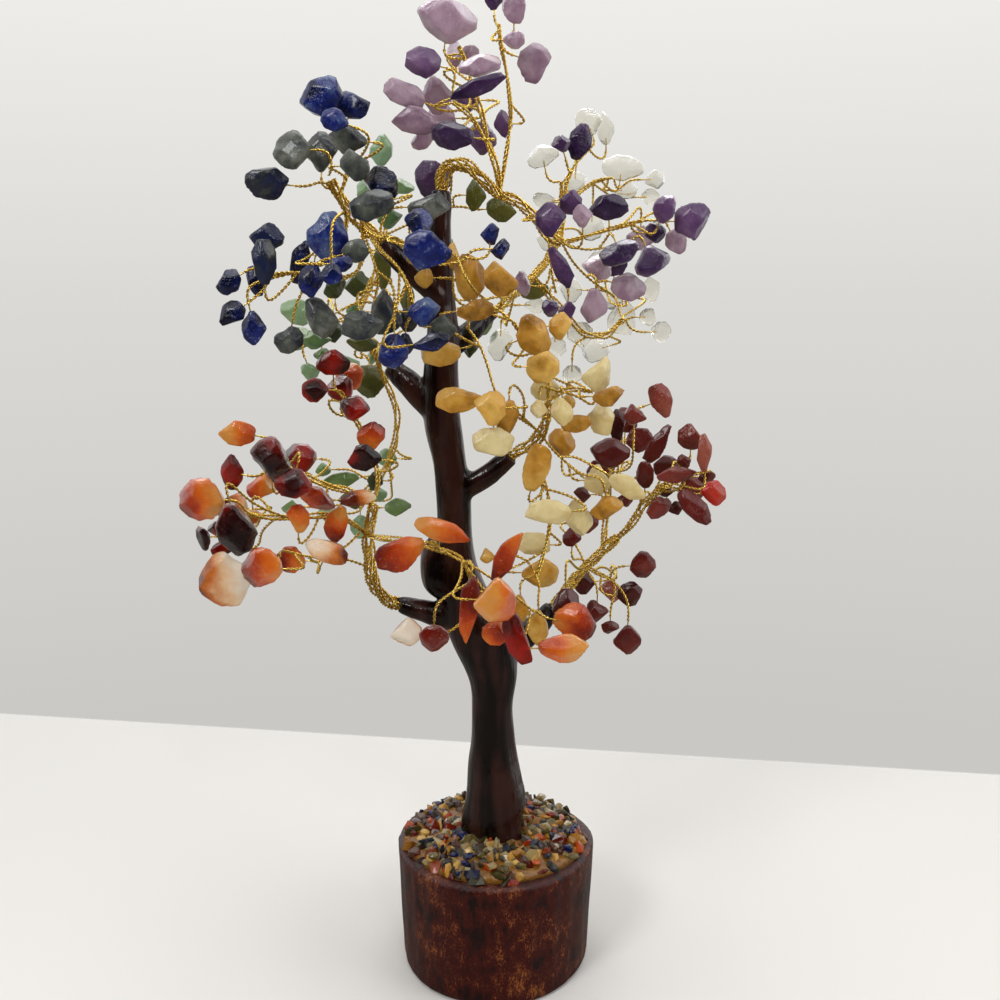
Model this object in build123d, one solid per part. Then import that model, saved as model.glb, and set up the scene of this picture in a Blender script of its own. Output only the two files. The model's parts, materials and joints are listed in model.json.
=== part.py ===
from build123d import *
import math
import os
from collections import namedtuple
from random import Random

import numpy as np

# Gemstone tree: a carved trunk on a log base, with seven wire branches that carry drilled stone chips.
# Millimetres, +Z up, origin at the middle of the log's underside, front of the tree towards -Y.

# Log base
BASE_TOP_DIAMETER = 58.0
BASE_FOOT_DIAMETER = 55.0
BASE_HEIGHT = 37.0
BASE_EDGE = 1.0
BASE_WANDER = 0.5

# Gravel bed on the log
BED_THICKNESS = 2.0
BED_RIM = 1.4
BED_TRUNK_GAP = 0.8
GRAVEL_COUNT = 150
GRAVEL_LENGTH = 3.3
GRAVEL_HEIGHT = 2.6
GRAVEL_TRUNK_GAP = 1.0
GRAVEL_APART = 0.1

# Trunk fixing: a tenon glued into a blind bore in the log
TENON_DIAMETER = 10.0
TENON_LENGTH = 16.0
TENON_GAP = 0.15

# Wire
WIRE_RADIUS = 0.2
TWIG_RADIUS = 0.4
BUNDLE_FILL = 0.85
STUB_WALL = 0.9
SOCKET_DEPTH = 5.0
SOCKET_GAP = 0.1
ROOT_STANDS_OUT = 0.6
PIVOT_GAP = 0.3

# Stone chips
CHIP_THINNEST = 2.6
CHIP_THICKEST = 5.0
CHIP_THICKNESS_SHARE = 0.5
CHIP_TILT = 16.0
HOLE_RADIUS = 0.5
HOLE_FROM_EDGE = 1.9
LOOP_GAP = 1.4
LOOP_FACE_GAP = 0.15
CHIP_CLEARANCE = 0.5
BRANCH_CLEARANCE = 1.6
WIRE_CLEARANCE = 0.3

# Where the tree is seen from in the front picture, from the middle of the log's top
EYE_RIGHT = 1.5
EYE_FORWARD = 307.8
EYE_ABOVE = 163.7
EYE_PITCH = 11.3
FOCAL_PIXELS = 1123.0
PICTURE_MIDDLE = 500.0

SEED = 11
GOLDEN_ANGLE = math.pi * (3.0 - math.sqrt(5.0))

# Trunk and stub stations: across and down in the front picture, mm behind the trunk's plane, diameter.
# The last station of each is a mouth, as wide as the wire bundle that it holds and a wall round it.
TRUNK = [
    (494, 800, 0, 17.0),
    (494, 760, 0, 14.4),
    (493, 715, 0, 11.8),
    (494, 682, 0, 13.4),
    (486, 646, 0, 16.4),
    (467, 607, 0, 15.0),
    (456, 570, 0, 12.6),
    (455, 520, 0, 9.8),
    (453, 480, 0, 10.0),
    (446, 440, 0, 10.0),
    (441, 400, 0, 10.4),
    (442, 345, 0, 9.0),
    (440, 285, 0, 7.6),
    (440, 232, 0, 6.6),
    (441, 190, 0),
]
TRUNK_FOOT_DIAMETER = 18.5
TOP_BRANCH = "amethyst"
STUBS = {
    "carnelian": [(470, 618, 0, 9.0), (432, 613, -2, 7.2), (399, 604, -4)],
    "jasper": [(494, 652, 1, 11.0), (526, 634, 4, 8.0), (552, 607, 7)],
    "yellow": [(455, 492, 0, 7.6), (485, 476, -1, 6.6), (512, 456, -2)],
    "green": [(443, 416, 0, 8.4), (415, 389, 2, 7.2), (391, 366, 5)],
    "quartz": [(443, 352, 1, 7.0), (470, 332, 4, 6.2), (494, 312, 8)],
    "lapis": [(440, 298, -1, 6.6), (408, 268, -3, 6.2), (379, 241, -6)],
}

# A limb leaves its parent at one of the parent's route points. Route points are across and down in the
# picture and mm behind the trunk's plane. A chip row is its tone, its place the same way, its width and
# height in mm as seen from the front, and its slant in degrees.
Limb = namedtuple("Limb", "name parent leaves_at route chips")
BRANCHES = {
    "carnelian": [
        Limb("stem", None, 0, [(376, 592, -7), (369, 568, -9), (368, 535, -10), (373, 505, -11)], []),
        Limb("upper_left", "stem", 3, [(352, 492, -13), (325, 485, -15), (298, 474, -16), (272, 458, -16)], [
            ("orange", 237, 433, -15, 9.8, 6.8, -8),
            ("red", 270, 460, -22, 11.4, 13.0, 0),
            ("cream", 274, 475, -10, 4.6, 8.0, 0),
            ("red", 232, 472, -18, 6.0, 10.0, -10),
            ("red", 293, 483, -22, 9.6, 7.8, -10),
            ("orange", 318, 498, -21, 10.0, 5.8, -12),
            ("cream", 358, 498, -18, 9.6, 4.4, 5),
            ("red", 300, 458, -2, 9.0, 8.0, 0),
            ("orange", 262, 486, 1, 9.0, 8.0, 20),
        ]),
        Limb("far_left", "stem", 2, [(340, 514, -12), (305, 517, -14), (270, 519, -15), (247, 513, -15)], [
            ("orange", 202, 500, -17, 12.0, 12.0, 0),
            ("red", 237, 530, -22, 10.6, 15.0, 12),
            ("red", 202, 538, -14, 4.6, 7.6, 10),
            ("red", 218, 528, -9, 7.0, 4.4, 0),
            ("red", 221, 549, -8, 5.6, 4.4, 0),
            ("cream", 253, 516, -10, 5.0, 4.2, 0),
            ("orange", 298, 518, -20, 6.0, 8.6, 0),
            ("orange", 336, 524, -18, 6.0, 11.6, -18),
            ("cream", 232, 508, 2, 9.0, 9.0, 0),
        ]),
        Limb("lower_left", "stem", 1, [(345, 558, -12), (312, 558, -14), (282, 550, -15)], [
            ("cream", 225, 580, -17, 14.4, 16.0, 8),
            ("orange", 262, 568, -20, 10.6, 11.6, 0),
            ("cream", 327, 552, -20, 12.6, 7.0, -25),
            ("orange", 290, 560, -4, 9.0, 8.0, 0),
        ]),
        Limb("riser", "stem", 3, [(379, 484, -11), (376, 460, -11), (362, 432, -10), (348, 405, -9)], [
            ("red", 333, 362, -8, 9.2, 7.0, 0),
            ("red", 315, 390, -12, 7.0, 6.6, 0),
            ("red", 340, 388, -5, 7.0, 7.6, 0),
            ("red", 355, 408, -14, 8.2, 7.0, -20),
            ("orange", 371, 435, -15, 7.6, 8.2, 0),
            ("red", 364, 457, -17, 9.2, 7.6, -10),
            ("orange", 350, 376, 3, 8.0, 8.0, 0),
        ]),
        Limb("front", "stem", 2, [(385, 538, -16), (412, 541, -20), (440, 548, -23), (462, 560, -25)], [
            ("orange", 400, 555, -27, 14.0, 8.6, 22),
            ("orange", 442, 531, -28, 15.6, 5.8, -14),
        ]),
        Limb("front_low", "front", 3, [(470, 574, -25), (474, 590, -24)], [
            ("cream", 405, 632, -22, 9.0, 8.6, 0),
            ("orange", 434, 638, -26, 8.0, 7.6, 0),
            ("orange", 470, 610, -31, 5.4, 18.0, -3),
            ("orange", 495, 600, -33, 11.0, 12.4, 0),
            ("orange", 507, 557, -30, 5.8, 15.4, -28),
            ("orange", 496, 633, -28, 7.6, 6.6, 0),
            ("red", 518, 637, -34, 7.0, 14.6, 18),
        ]),
        Limb("front_right", "front", 3, [(486, 574, -25), (510, 592, -25), (534, 612, -24)], [
            ("orange", 564, 648, -28, 14.0, 8.0, 0),
            ("orange", 575, 625, -22, 12.0, 12.0, -15),
        ]),
    ],
    "jasper": [
        Limb("stem", None, 0, [(570, 586, 10), (586, 566, 12), (602, 550, 14), (618, 538, 15)], []),
        Limb("far_right", "stem", 3, [(632, 522, 14), (642, 506, 13), (655, 492, 12), (678, 480, 11)], [
            ("brick", 676, 475, 6, 12.0, 5.0, 5),
            ("brick", 707, 477, 13, 5.4, 4.2, 0),
            ("brick", 713, 493, 8, 7.6, 7.6, 0),
            ("dark", 696, 508, 5, 13.4, 6.0, -42),
            ("dark", 665, 490, 18, 5.0, 4.2, 0),
            ("brick", 659, 507, 9, 8.0, 5.8, 35),
            ("dark", 676, 508, 18, 4.6, 4.2, 0),
            ("brick", 691, 437, 14, 7.8, 7.8, 0),
            ("brick", 704, 452, 10, 4.4, 11.4, 0),
            ("dark", 684, 461, 7, 4.2, 4.2, 0),
            ("brick", 645, 475, 13, 5.2, 8.2, 0),
            ("dark", 668, 468, 28, 9.0, 8.0, 0),
            ("brick", 692, 488, 26, 8.0, 8.0, 30),
        ]),
        Limb("middle", "stem", 2, [(607, 522, 18), (607, 494, 20), (612, 470, 20)], [
            ("brick", 661, 400, 20, 6.6, 11.0, 20),
            ("brick", 634, 414, 12, 7.6, 6.0, 0),
            ("dark", 618, 425, 16, 5.4, 10.0, 0),
            ("dark", 610, 453, 13, 12.4, 9.0, 0),
            ("dark", 658, 443, 16, 6.0, 12.6, -30),
            ("dark", 582, 495, 14, 5.4, 5.0, 0),
            ("dark", 625, 500, 11, 5.2, 4.4, 0),
            ("dark", 640, 440, 34, 9.0, 8.0, 0),
            ("brick", 600, 470, 34, 9.0, 8.0, 20),
            ("brick", 625, 420, 34, 8.0, 8.0, 0),
        ]),
        Limb("low", "stem", 1, [(598, 574, 15), (614, 580, 17)], [
            ("brick", 643, 565, 14, 8.2, 8.8, 0),
            ("dark", 630, 594, 12, 8.2, 7.6, 0),
            ("brick", 627, 640, 10, 8.4, 10.0, 0),
            ("dark", 597, 613, 8, 7.2, 8.0, 0),
            ("brick", 610, 628, 14, 5.6, 4.4, 0),
            ("dark", 566, 606, -9, 7.6, 10.0, 0),
            ("brick", 610, 592, 31, 8.0, 8.0, 0),
            ("dark", 582, 582, 32, 8.0, 8.0, 0),
        ]),
        Limb("inner", "stem", 1, [(580, 552, 16), (575, 544, 17)], [
            ("dark", 572, 537, 8, 5.6, 5.6, 0),
            ("brick", 586, 522, 29, 8.0, 7.0, 0),
        ]),
    ],
    "yellow": [
        Limb("stem", None, 0, [(530, 446, -6), (541, 434, -9), (547, 418, -11), (548, 402, -12)], []),
        Limb("left", "stem", 1, [(526, 422, -14), (512, 412, -16), (503, 405, -17)], [
            ("golden", 460, 400, -19, 13.0, 7.0, 5),
            ("golden", 489, 408, -22, 8.6, 9.2, 0),
            ("golden", 508, 420, -19, 6.0, 11.0, 0),
            ("pale", 494, 442, -24, 11.4, 7.6, 0),
        ]),
        Limb("long", "left", 2, [(494, 390, -16), (488, 366, -16), (479, 342, -16), (466, 326, -16)], [
            ("golden", 440, 352, -13, 10.8, 7.6, 10),
            ("golden", 475, 310, -20, 9.8, 5.4, 5),
            ("golden", 470, 277, -14, 8.6, 11.8, 0),
        ]),
        Limb("upper", "stem", 3, [(549, 382, -13), (541, 362, -13), (527, 343, -13), (513, 322, -13)], [
            ("golden", 533, 335, -18, 8.6, 11.2, 20),
            ("golden", 543, 367, -20, 8.6, 8.6, 0),
            ("golden", 561, 326, -14, 6.4, 7.6, 0),
            ("pale", 545, 388, -3, 8.0, 7.0, 0),
        ]),
        Limb("top", "upper", 3, [(500, 311, -13), (484, 300, -13)], [
            ("golden", 501, 278, -17, 9.0, 9.4, 0),
            ("golden", 453, 256, -13, 4.6, 7.0, 0),
            ("golden", 424, 278, -10, 5.0, 5.6, 0),
            ("golden", 415, 252, -14, 4.6, 6.6, 0),
        ]),
        Limb("right", "stem", 3, [(562, 391, -12), (578, 389, -11), (593, 392, -10)], [
            ("pale", 596, 373, -14, 8.2, 10.0, 0),
            ("golden", 609, 396, -15, 9.2, 5.6, 0),
            ("pale", 601, 419, -8, 7.6, 9.2, 0),
            ("pale", 562, 412, -18, 6.0, 7.6, 0),
            ("golden", 576, 424, -14, 8.2, 4.8, 20),
            ("golden", 567, 402, -7, 4.6, 4.6, 0),
            ("pale", 539, 409, -18, 4.6, 4.8, 0),
        ]),
        Limb("lower", "stem", 1, [(552, 450, -8), (568, 464, -7), (584, 478, -6)], [
            ("pale", 598, 480, -8, 7.6, 8.6, 0),
            ("golden", 607, 509, -11, 9.2, 7.0, 10),
            ("pale", 628, 486, -13, 11.0, 6.4, -30),
            ("golden", 562, 442, 2, 8.0, 8.0, 0),
        ]),
        Limb("down", "stem", 0, [(538, 466, -10), (547, 490, -12)], [
            ("golden", 537, 468, -20, 7.0, 13.6, -18),
            ("pale", 548, 512, -21, 12.4, 7.8, 0),
            ("pale", 580, 518, -17, 8.0, 10.4, 0),
        ]),
        Limb("lowest", "down", 1, [(551, 518, -10), (546, 548, -9), (536, 578, -9)], [
            ("pale", 533, 544, -5, 9.8, 6.6, 0),
            ("golden", 541, 573, -3, 11.0, 8.6, 0),
            ("golden", 521, 608, -9, 4.6, 7.6, 0),
            ("golden", 538, 628, -12, 6.2, 11.0, 0),
            ("golden", 487, 556, -3, 4.4, 4.4, 0),
        ]),
    ],
    "green": [
        Limb("stem", None, 0, [(374, 348, 11), (364, 332, 16), (356, 318, 20)], []),
        Limb("left", "stem", 2, [(338, 320, 22), (322, 326, 24)], [
            ("green", 299, 312, 22, 11.4, 7.6, -10),
            ("green", 317, 340, 19, 8.8, 5.6, 0),
            ("green", 310, 371, 24, 6.6, 5.0, 20),
            ("green", 322, 355, 28, 5.2, 4.2, 0),
            ("olive", 335, 286, 20, 7.2, 7.2, 0),
            ("green", 355, 313, 13, 5.6, 5.6, 0),
            ("green", 300, 340, 36, 9.0, 8.0, 0),
            ("olive", 330, 330, 38, 8.0, 8.0, 0),
        ]),
        Limb("low", "stem", 1, [(360, 345, 19), (362, 358, 20)], [
            ("olive", 370, 382, 14, 10.8, 9.8, 0),
            ("olive", 362, 344, 11, 8.8, 4.4, 0),
            ("green", 374, 358, 24, 4.4, 4.4, 0),
            ("green", 345, 366, 31, 9.0, 7.0, 0),
        ]),
        Limb("upper", "stem", 2, [
            (366, 298, 23), (378, 268, 24), (384, 236, 24), (385, 205, 23), (382, 180, 22)], [
            ("green", 381, 150, 20, 6.6, 8.8, 0),
            ("green", 403, 186, 18, 6.6, 4.4, 0),
            ("green", 390, 218, 18, 7.2, 6.2, 0),
            ("olive", 382, 268, 17, 5.2, 12.4, 0),
            ("olive", 407, 295, 16, 4.4, 8.8, 0),
            ("green", 370, 192, 34, 8.0, 8.0, 0),
            ("green", 396, 250, 34, 9.0, 7.0, 0),
            ("olive", 358, 284, 35, 9.0, 8.0, 0),
        ]),
        Limb("over", "upper", 2, [(404, 226, 21), (430, 215, 19), (455, 206, 16)], [
            ("olive", 476, 195, 12, 5.8, 9.2, 0),
            ("olive", 502, 209, 12, 8.8, 7.2, 0),
            ("green", 440, 240, 28, 8.0, 7.0, 0),
        ]),
        Limb("right", "stem", 0, [(396, 334, 15), (428, 318, 18), (460, 308, 22), (494, 297, 25)], [
            ("olive", 535, 290, 22, 8.8, 6.2, 20),
            ("olive", 470, 348, 15, 4.6, 5.8, 0),
            ("green", 440, 300, 32, 9.0, 8.0, 0),
            ("green", 480, 322, 34, 8.0, 8.0, 0),
        ]),
        Limb("down", "stem", 0, [
            (382, 376, 14), (398, 408, 14), (396, 440, 14), (386, 468, 14), (377, 487, 14)], [
            ("green", 323, 470, 14, 4.6, 4.2, 0),
            ("green", 340, 481, 17, 11.6, 5.0, 8),
            ("olive", 375, 481, 9, 4.6, 5.6, 0),
            ("green", 289, 507, 16, 4.8, 4.8, 0),
            ("green", 327, 514, 20, 5.4, 4.4, 0),
            ("green", 360, 527, 12, 6.0, 7.0, 0),
            ("green", 398, 507, 16, 8.0, 5.6, 0),
            ("green", 380, 495, 21, 4.4, 4.6, 0),
            ("olive", 350, 500, 28, 8.0, 6.0, 0),
            ("green", 386, 458, 26, 7.0, 6.0, 0),
        ]),
    ],
    "quartz": [
        Limb("stem", None, 0, [
            (514, 294, 14), (534, 278, 20), (550, 258, 25), (559, 234, 28), (563, 207, 29), (564, 182, 30)], [
            ("clear", 543, 156, 28, 9.6, 6.6, 10),
            ("clear", 545, 200, 36, 7.6, 5.0, 0),
            ("clear", 548, 240, 47, 8.0, 7.0, 0),
        ]),
        Limb("upper", "stem", 5, [(575, 164, 31), (590, 149, 33)], [
            ("clear", 588, 122, 34, 8.0, 8.0, 20),
            ("clear", 606, 128, 38, 5.2, 9.4, 0),
            ("clear", 575, 182, 47, 8.0, 6.0, 0),
        ]),
        Limb("right", "stem", 4, [(582, 190, 32), (598, 180, 35), (612, 178, 38)], [
            ("clear", 622, 168, 40, 13.0, 7.6, -8),
            ("clear", 627, 190, 45, 7.0, 5.2, 0),
            ("clear", 655, 180, 45, 6.4, 6.0, 0),
            ("clear", 650, 197, 49, 6.0, 5.0, 0),
            ("clear", 592, 228, 53, 9.0, 8.0, 0),
        ]),
        Limb("lower", "stem", 1, [
            (558, 306, 26), (582, 334, 32), (605, 340, 36), (622, 322, 39), (627, 304, 40)], [
            ("clear", 650, 290, 42, 6.0, 8.0, 0),
            ("clear", 661, 332, 42, 6.4, 6.6, 0),
            ("clear", 622, 318, 47, 9.4, 11.0, 0),
            ("clear", 580, 335, 37, 8.0, 8.0, 0),
            ("clear", 595, 350, 41, 9.0, 7.4, 15),
            ("clear", 648, 317, 40, 5.4, 5.4, 0),
            ("clear", 555, 348, 31, 7.0, 7.0, 0),
            ("clear", 572, 375, 35, 6.0, 6.0, 0),
            ("clear", 570, 290, 51, 8.0, 8.0, 0),
            ("clear", 602, 262, 51, 9.0, 7.0, 10),
            ("clear", 610, 298, 57, 8.0, 8.0, 0),
        ]),
        Limb("near", "stem", 0, [(510, 312, 19), (506, 326, 21)], [
            ("clear", 500, 345, 23, 7.4, 9.4, 0),
            ("clear", 535, 305, 30, 6.4, 5.0, 0),
        ]),
    ],
    "lapis": [
        Limb("stem", None, 0, [(362, 226, -9), (350, 212, -11), (339, 197, -12), (331, 180, -13)], [
            ("grey", 292, 150, -15, 9.6, 9.6, 0),
            ("grey", 322, 152, -9, 9.0, 10.4, 0),
            ("grey", 267, 183, -13, 11.2, 8.2, -5),
        ]),
        Limb("upper", "stem", 2, [(347, 174, -14), (353, 150, -16), (353, 130, -17)], [
            ("blue", 322, 98, -18, 12.0, 9.4, 20),
            ("blue", 351, 105, -15, 10.0, 7.0, -10),
            ("blue", 335, 120, -23, 7.0, 5.4, -20),
            ("grey", 347, 140, -22, 10.0, 7.4, -5),
            ("grey", 355, 166, -21, 7.4, 8.6, 0),
        ]),
        Limb("near", "stem", 0, [(371, 212, -13), (377, 202, -15)], [
            ("blue", 380, 185, -17, 9.0, 9.8, 0),
            ("grey", 372, 205, -23, 11.0, 7.8, 15),
        ]),
        Limb("centre", "stem", 1, [(345, 229, -15), (340, 248, -18), (333, 262, -19)], [
            ("blue", 328, 238, -24, 10.6, 13.0, 0),
            ("grey", 356, 251, -21, 7.4, 5.6, 15),
            ("blue", 341, 264, -26, 5.6, 4.4, 0),
            ("blue", 332, 274, -29, 6.2, 5.2, 0),
            ("blue", 311, 280, -24, 6.2, 9.2, -10),
            ("blue", 300, 262, -19, 4.8, 11.4, -12),
        ]),
        Limb("left", "stem", 0, [
            (364, 252, -14), (358, 274, -17), (336, 280, -18), (304, 271, -19), (272, 275, -20)], [
            ("grey", 266, 237, -17, 9.2, 7.6, -15),
            ("grey", 264, 262, -24, 6.2, 11.2, 0),
            ("blue", 228, 282, -20, 7.0, 6.0, 30),
            ("blue", 256, 281, -16, 4.2, 8.0, 15),
            ("blue", 232, 314, -21, 7.6, 6.2, 35),
            ("blue", 254, 328, -24, 6.4, 8.6, 10),
            ("grey", 289, 340, -21, 7.6, 7.2, -10),
        ]),
        Limb("low", "stem", 0, [(372, 256, -15), (380, 280, -19), (374, 302, -21)], [
            ("grey", 323, 320, -24, 7.6, 13.0, 28),
            ("grey", 362, 325, -28, 10.8, 7.4, 10),
            ("grey", 387, 312, -24, 8.6, 11.8, 0),
            ("blue", 394, 351, -26, 8.0, 8.6, 0),
        ]),
        Limb("right", "stem", 0, [(382, 252, -17), (400, 268, -21), (410, 290, -22), (413, 310, -22)], [
            ("blue", 425, 312, -25, 8.6, 7.4, 0),
            ("grey", 444, 327, -21, 6.4, 6.4, 0),
            ("blue", 432, 342, -28, 10.0, 4.8, 8),
            ("grey", 408, 320, -17, 4.8, 6.4, 0),
            ("grey", 406, 344, -19, 4.4, 5.6, 0),
        ]),
        Limb("front", "stem", 0, [(376, 236, -15), (392, 238, -19), (405, 243, -21)], [
            ("blue", 419, 224, -24, 7.4, 8.0, 0),
            ("blue", 428, 250, -27, 12.0, 10.0, -12),
            ("grey", 430, 207, -14, 11.4, 8.0, 0),
        ]),
        Limb("over", "front", 2, [(422, 262, -21), (446, 266, -21), (468, 258, -20)], [
            ("blue", 490, 234, -18, 5.0, 5.6, 0),
            ("blue", 500, 249, -21, 5.0, 5.2, 0),
        ]),
    ],
    "amethyst": [
        Limb("stem", None, 0, [(447, 164, -1), (464, 163, -2), (484, 180, -3), (500, 196, -3)], [
            ("deep", 433, 180, -10, 10.0, 10.5, 0),
        ]),
        Limb("crown_left", "stem", 3, [(499, 172, -3), (486, 140, -4), (470, 114, -4), (452, 102, -4)], [
            ("pale", 403, 93, -6, 12.0, 6.0, -22),
            ("pale", 437, 95, 4, 8.0, 10.0, 0),
            ("pale", 415, 120, -9, 13.0, 6.8, -12),
            ("pale", 422, 139, -3, 6.4, 5.2, 20),
            ("deep", 452, 135, -9, 11.0, 7.2, -8),
            ("deep", 423, 63, -5, 9.2, 7.8, -10),
            ("pale", 440, 118, 13, 9.0, 7.0, 0),
        ]),
        Limb("crown_middle", "stem", 3, [
            (497, 166, 1), (486, 130, 2), (477, 100, 2), (469, 72, 1), (459, 46, 0)], [
            ("pale", 447, 20, -2, 16.0, 11.5, -6),
            ("pale", 480, 66, -5, 11.5, 5.6, 8),
            ("deep", 478, 86, -8, 15.5, 4.8, 22),
            ("pale", 470, 54, 5, 5.0, 4.4, 0),
            ("pale", 455, 55, 7, 4.4, 7.4, 0),
            ("deep", 484, 138, 8, 8.0, 9.0, 0),
            ("deep", 466, 100, 15, 8.0, 7.0, 0),
        ]),
        Limb("crown_top", "stem", 3, [
            (504, 168, -1), (509, 138, -2), (511, 108, -2), (507, 76, -2), (501, 46, -2), (499, 24, -2)], [
            ("deep", 494, -2, 2, 5.0, 6.0, 0),
            ("pale", 514, 3, -3, 6.2, 10.0, 0),
            ("pale", 514, 40, -7, 5.6, 4.4, 0),
            ("pale", 535, 62, -2, 9.0, 10.5, -15),
            ("deep", 503, 124, 5, 5.2, 7.4, 0),
        ]),
        Limb("right", "stem", 3, [(518, 200, -2), (533, 215, -1), (547, 234, 0), (562, 243, 1)], [
            ("deep", 551, 220, -9, 8.2, 9.2, 0),
            ("deep", 571, 202, -6, 6.0, 6.6, 0),
            ("pale", 583, 216, -9, 5.4, 6.0, 0),
        ]),
        Limb("right_up", "right", 3, [(564, 222, 3), (565, 196, 5), (570, 170, 6)], [
            ("deep", 561, 144, 4, 5.2, 4.6, 20),
            ("deep", 580, 142, 7, 6.4, 9.8, -15),
        ]),
        Limb("right_far", "right", 3, [(585, 237, 2), (612, 229, 3), (641, 221, 4)], [
            ("deep", 608, 207, -2, 11.2, 6.8, 8),
            ("deep", 664, 209, 1, 6.0, 8.0, -20),
            ("deep", 655, 233, 7, 6.4, 6.0, 0),
            ("deep", 693, 221, 0, 10.2, 10.6, 0),
            ("pale", 676, 242, 6, 6.0, 7.0, 30),
            ("pale", 640, 238, 16, 8.0, 7.0, 0),
        ]),
        Limb("right_middle", "right", 3, [(585, 251, 2), (608, 247, 3), (632, 249, 4)], [
            ("deep", 620, 253, -4, 11.2, 6.0, 20),
            ("deep", 652, 262, -1, 10.0, 9.0, 25),
        ]),
        Limb("right_low", "right", 3, [(572, 262, 3), (590, 280, 5), (606, 291, 6)], [
            ("pale", 597, 268, 11, 9.2, 7.4, 0),
            ("pale", 629, 287, 3, 10.0, 7.6, -15),
            ("pale", 594, 306, 1, 7.6, 9.8, 0),
            ("deep", 614, 262, 17, 8.0, 8.0, 0),
        ]),
        Limb("right_down", "right", 2, [(551, 258, 2), (552, 278, 3), (556, 293, 4)], [
            ("deep", 561, 268, -4, 4.6, 12.4, 28),
            ("deep", 550, 308, 0, 5.0, 5.0, 0),
            ("deep", 567, 311, 1, 5.0, 5.4, 0),
            ("pale", 522, 284, 3, 4.8, 7.2, -10),
        ]),
    ],
}
GRAVEL_STONES = ["lapis", "yellow", "carnelian", "green", "quartz", "amethyst"]

RIGHT = np.array([1.0, 0.0, 0.0])
UP = np.array([0.0, 0.0, 1.0])
TOWARDS_VIEWER = np.array([0.0, -1.0, 0.0])
BASE_TOP = np.array([0.0, 0.0, BASE_HEIGHT])


def unit(vector):
    return vector / np.linalg.norm(vector)


def seen(place):
    """Point of the tree that the front picture shows at a pixel, some way behind the trunk's plane."""
    across, down, back = place
    pitch = math.radians(EYE_PITCH)
    ahead = np.array([0.0, math.cos(pitch), -math.sin(pitch)])
    above = np.array([0.0, math.sin(pitch), math.cos(pitch)])
    ray = ahead + RIGHT * (across - PICTURE_MIDDLE) / FOCAL_PIXELS
    ray = ray + above * (PICTURE_MIDDLE - down) / FOCAL_PIXELS
    eye = BASE_TOP + np.array([EYE_RIGHT, -EYE_FORWARD, EYE_ABOVE])
    return eye + ray * (back + EYE_FORWARD) / ray[1]


# Bent wires

CORNER_SHARE = 0.45
SAMPLE_STEP = 0.7
STRAIGHT_TURN = 0.01

Bend = namedtuple("Bend", "start arcs end samples sharpest")


def spaced(start, end):
    count = max(2, math.ceil(np.linalg.norm(end - start) / SAMPLE_STEP) + 1)
    return [start + (end - start) * step / (count - 1) for step in range(count)]


def bend(points):
    """Straight runs joined by tangent arcs, each as large as its two runs allow."""
    arcs = []
    samples = []
    sharpest = math.inf
    start = points[0]
    for before, corner, after in zip(points, points[1:], points[2:]):
        back = unit(before - corner)
        forth = unit(after - corner)
        half_angle = math.acos(float(np.clip(back @ forth, -1.0, 1.0))) / 2
        if half_angle > math.pi / 2 - STRAIGHT_TURN:
            continue
        trim = CORNER_SHARE * min(np.linalg.norm(before - corner), np.linalg.norm(after - corner))
        radius = trim * math.tan(half_angle)
        middle_way = unit(back + forth)
        middle = corner + middle_way * (trim / math.cos(half_angle) - radius)
        enter = corner + back * trim
        leave = corner + forth * trim
        arcs.append((enter, middle, leave))
        samples.extend(spaced(start, enter) + spaced(enter, middle) + spaced(middle, leave))
        sharpest = min(sharpest, radius)
        start = leave
    samples.extend(spaced(start, points[-1]))
    return Bend(points[0], arcs, points[-1], np.array(samples), sharpest)


def tube(path, radius):
    edges = []
    start = path.start
    for enter, middle, leave in path.arcs:
        edges.append(Edge.make_line(tuple(start), tuple(enter)))
        edges.append(Edge.make_three_point_arc(tuple(enter), tuple(middle), tuple(leave)))
        start = leave
    edges.append(Edge.make_line(tuple(start), tuple(path.end)))
    section = Wire.make_circle(radius, Plane(edges[0].position_at(0), z_dir=edges[0].tangent_at(0)))
    return Solid.sweep(section, Wire(edges))


def bundle_radius(pairs):
    return max(TWIG_RADIUS, WIRE_RADIUS * math.sqrt(2 * pairs / BUNDLE_FILL))


# Tumbled stones

Stone = namedtuple("Stone", "centre axes half normals offsets corners")
DIAGONALS = [(1, 1), (-1, 1), (-1, -1), (1, -1)]
OUTLINE_CUT = (0.84, 1.12)
FACE_CUT = (0.86, 1.02)
SAME_PLACE = 1e-6


def stone_sides(half, draw):
    """Outward normals and distances of a chip's flat sides, in its own axes."""
    normals = [np.eye(3)[axis] * side for axis in range(3) for side in (1, -1)]
    cuts = [1.0] * len(normals)
    for across, along in DIAGONALS:
        normals.append(np.array([across * half[1], along * half[0], 0.0]))
        cuts.append(draw.uniform(*OUTLINE_CUT))
    for across, along in DIAGONALS:
        for side in (1, -1):
            lean = draw.uniform(-0.3, 0.3)
            normals.append(np.array([across / half[0] + lean / half[1], along / half[1], side / half[2]]))
            cuts.append(draw.uniform(*FACE_CUT))
    normals = np.array([unit(normal) for normal in normals])
    offsets = np.linalg.norm(normals * half, axis=1) * np.array(cuts)
    return normals, offsets


def corners_of(normals, offsets):
    """Corners of the convex stone that lies behind all of its sides."""
    count = len(normals)
    triples = [(i, j, k) for i in range(count) for j in range(i + 1, count) for k in range(j + 1, count)]
    picks = np.array(triples)
    square = normals[picks]
    crossing = np.abs(np.linalg.det(square)) > SAME_PLACE
    points = np.linalg.solve(square[crossing], offsets[picks[crossing]][..., None])[..., 0]
    inside = points[np.all(points @ normals.T <= offsets + SAME_PLACE, axis=1)]
    return inside[np.unique(np.round(inside, 5), axis=0, return_index=True)[1]]


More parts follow.
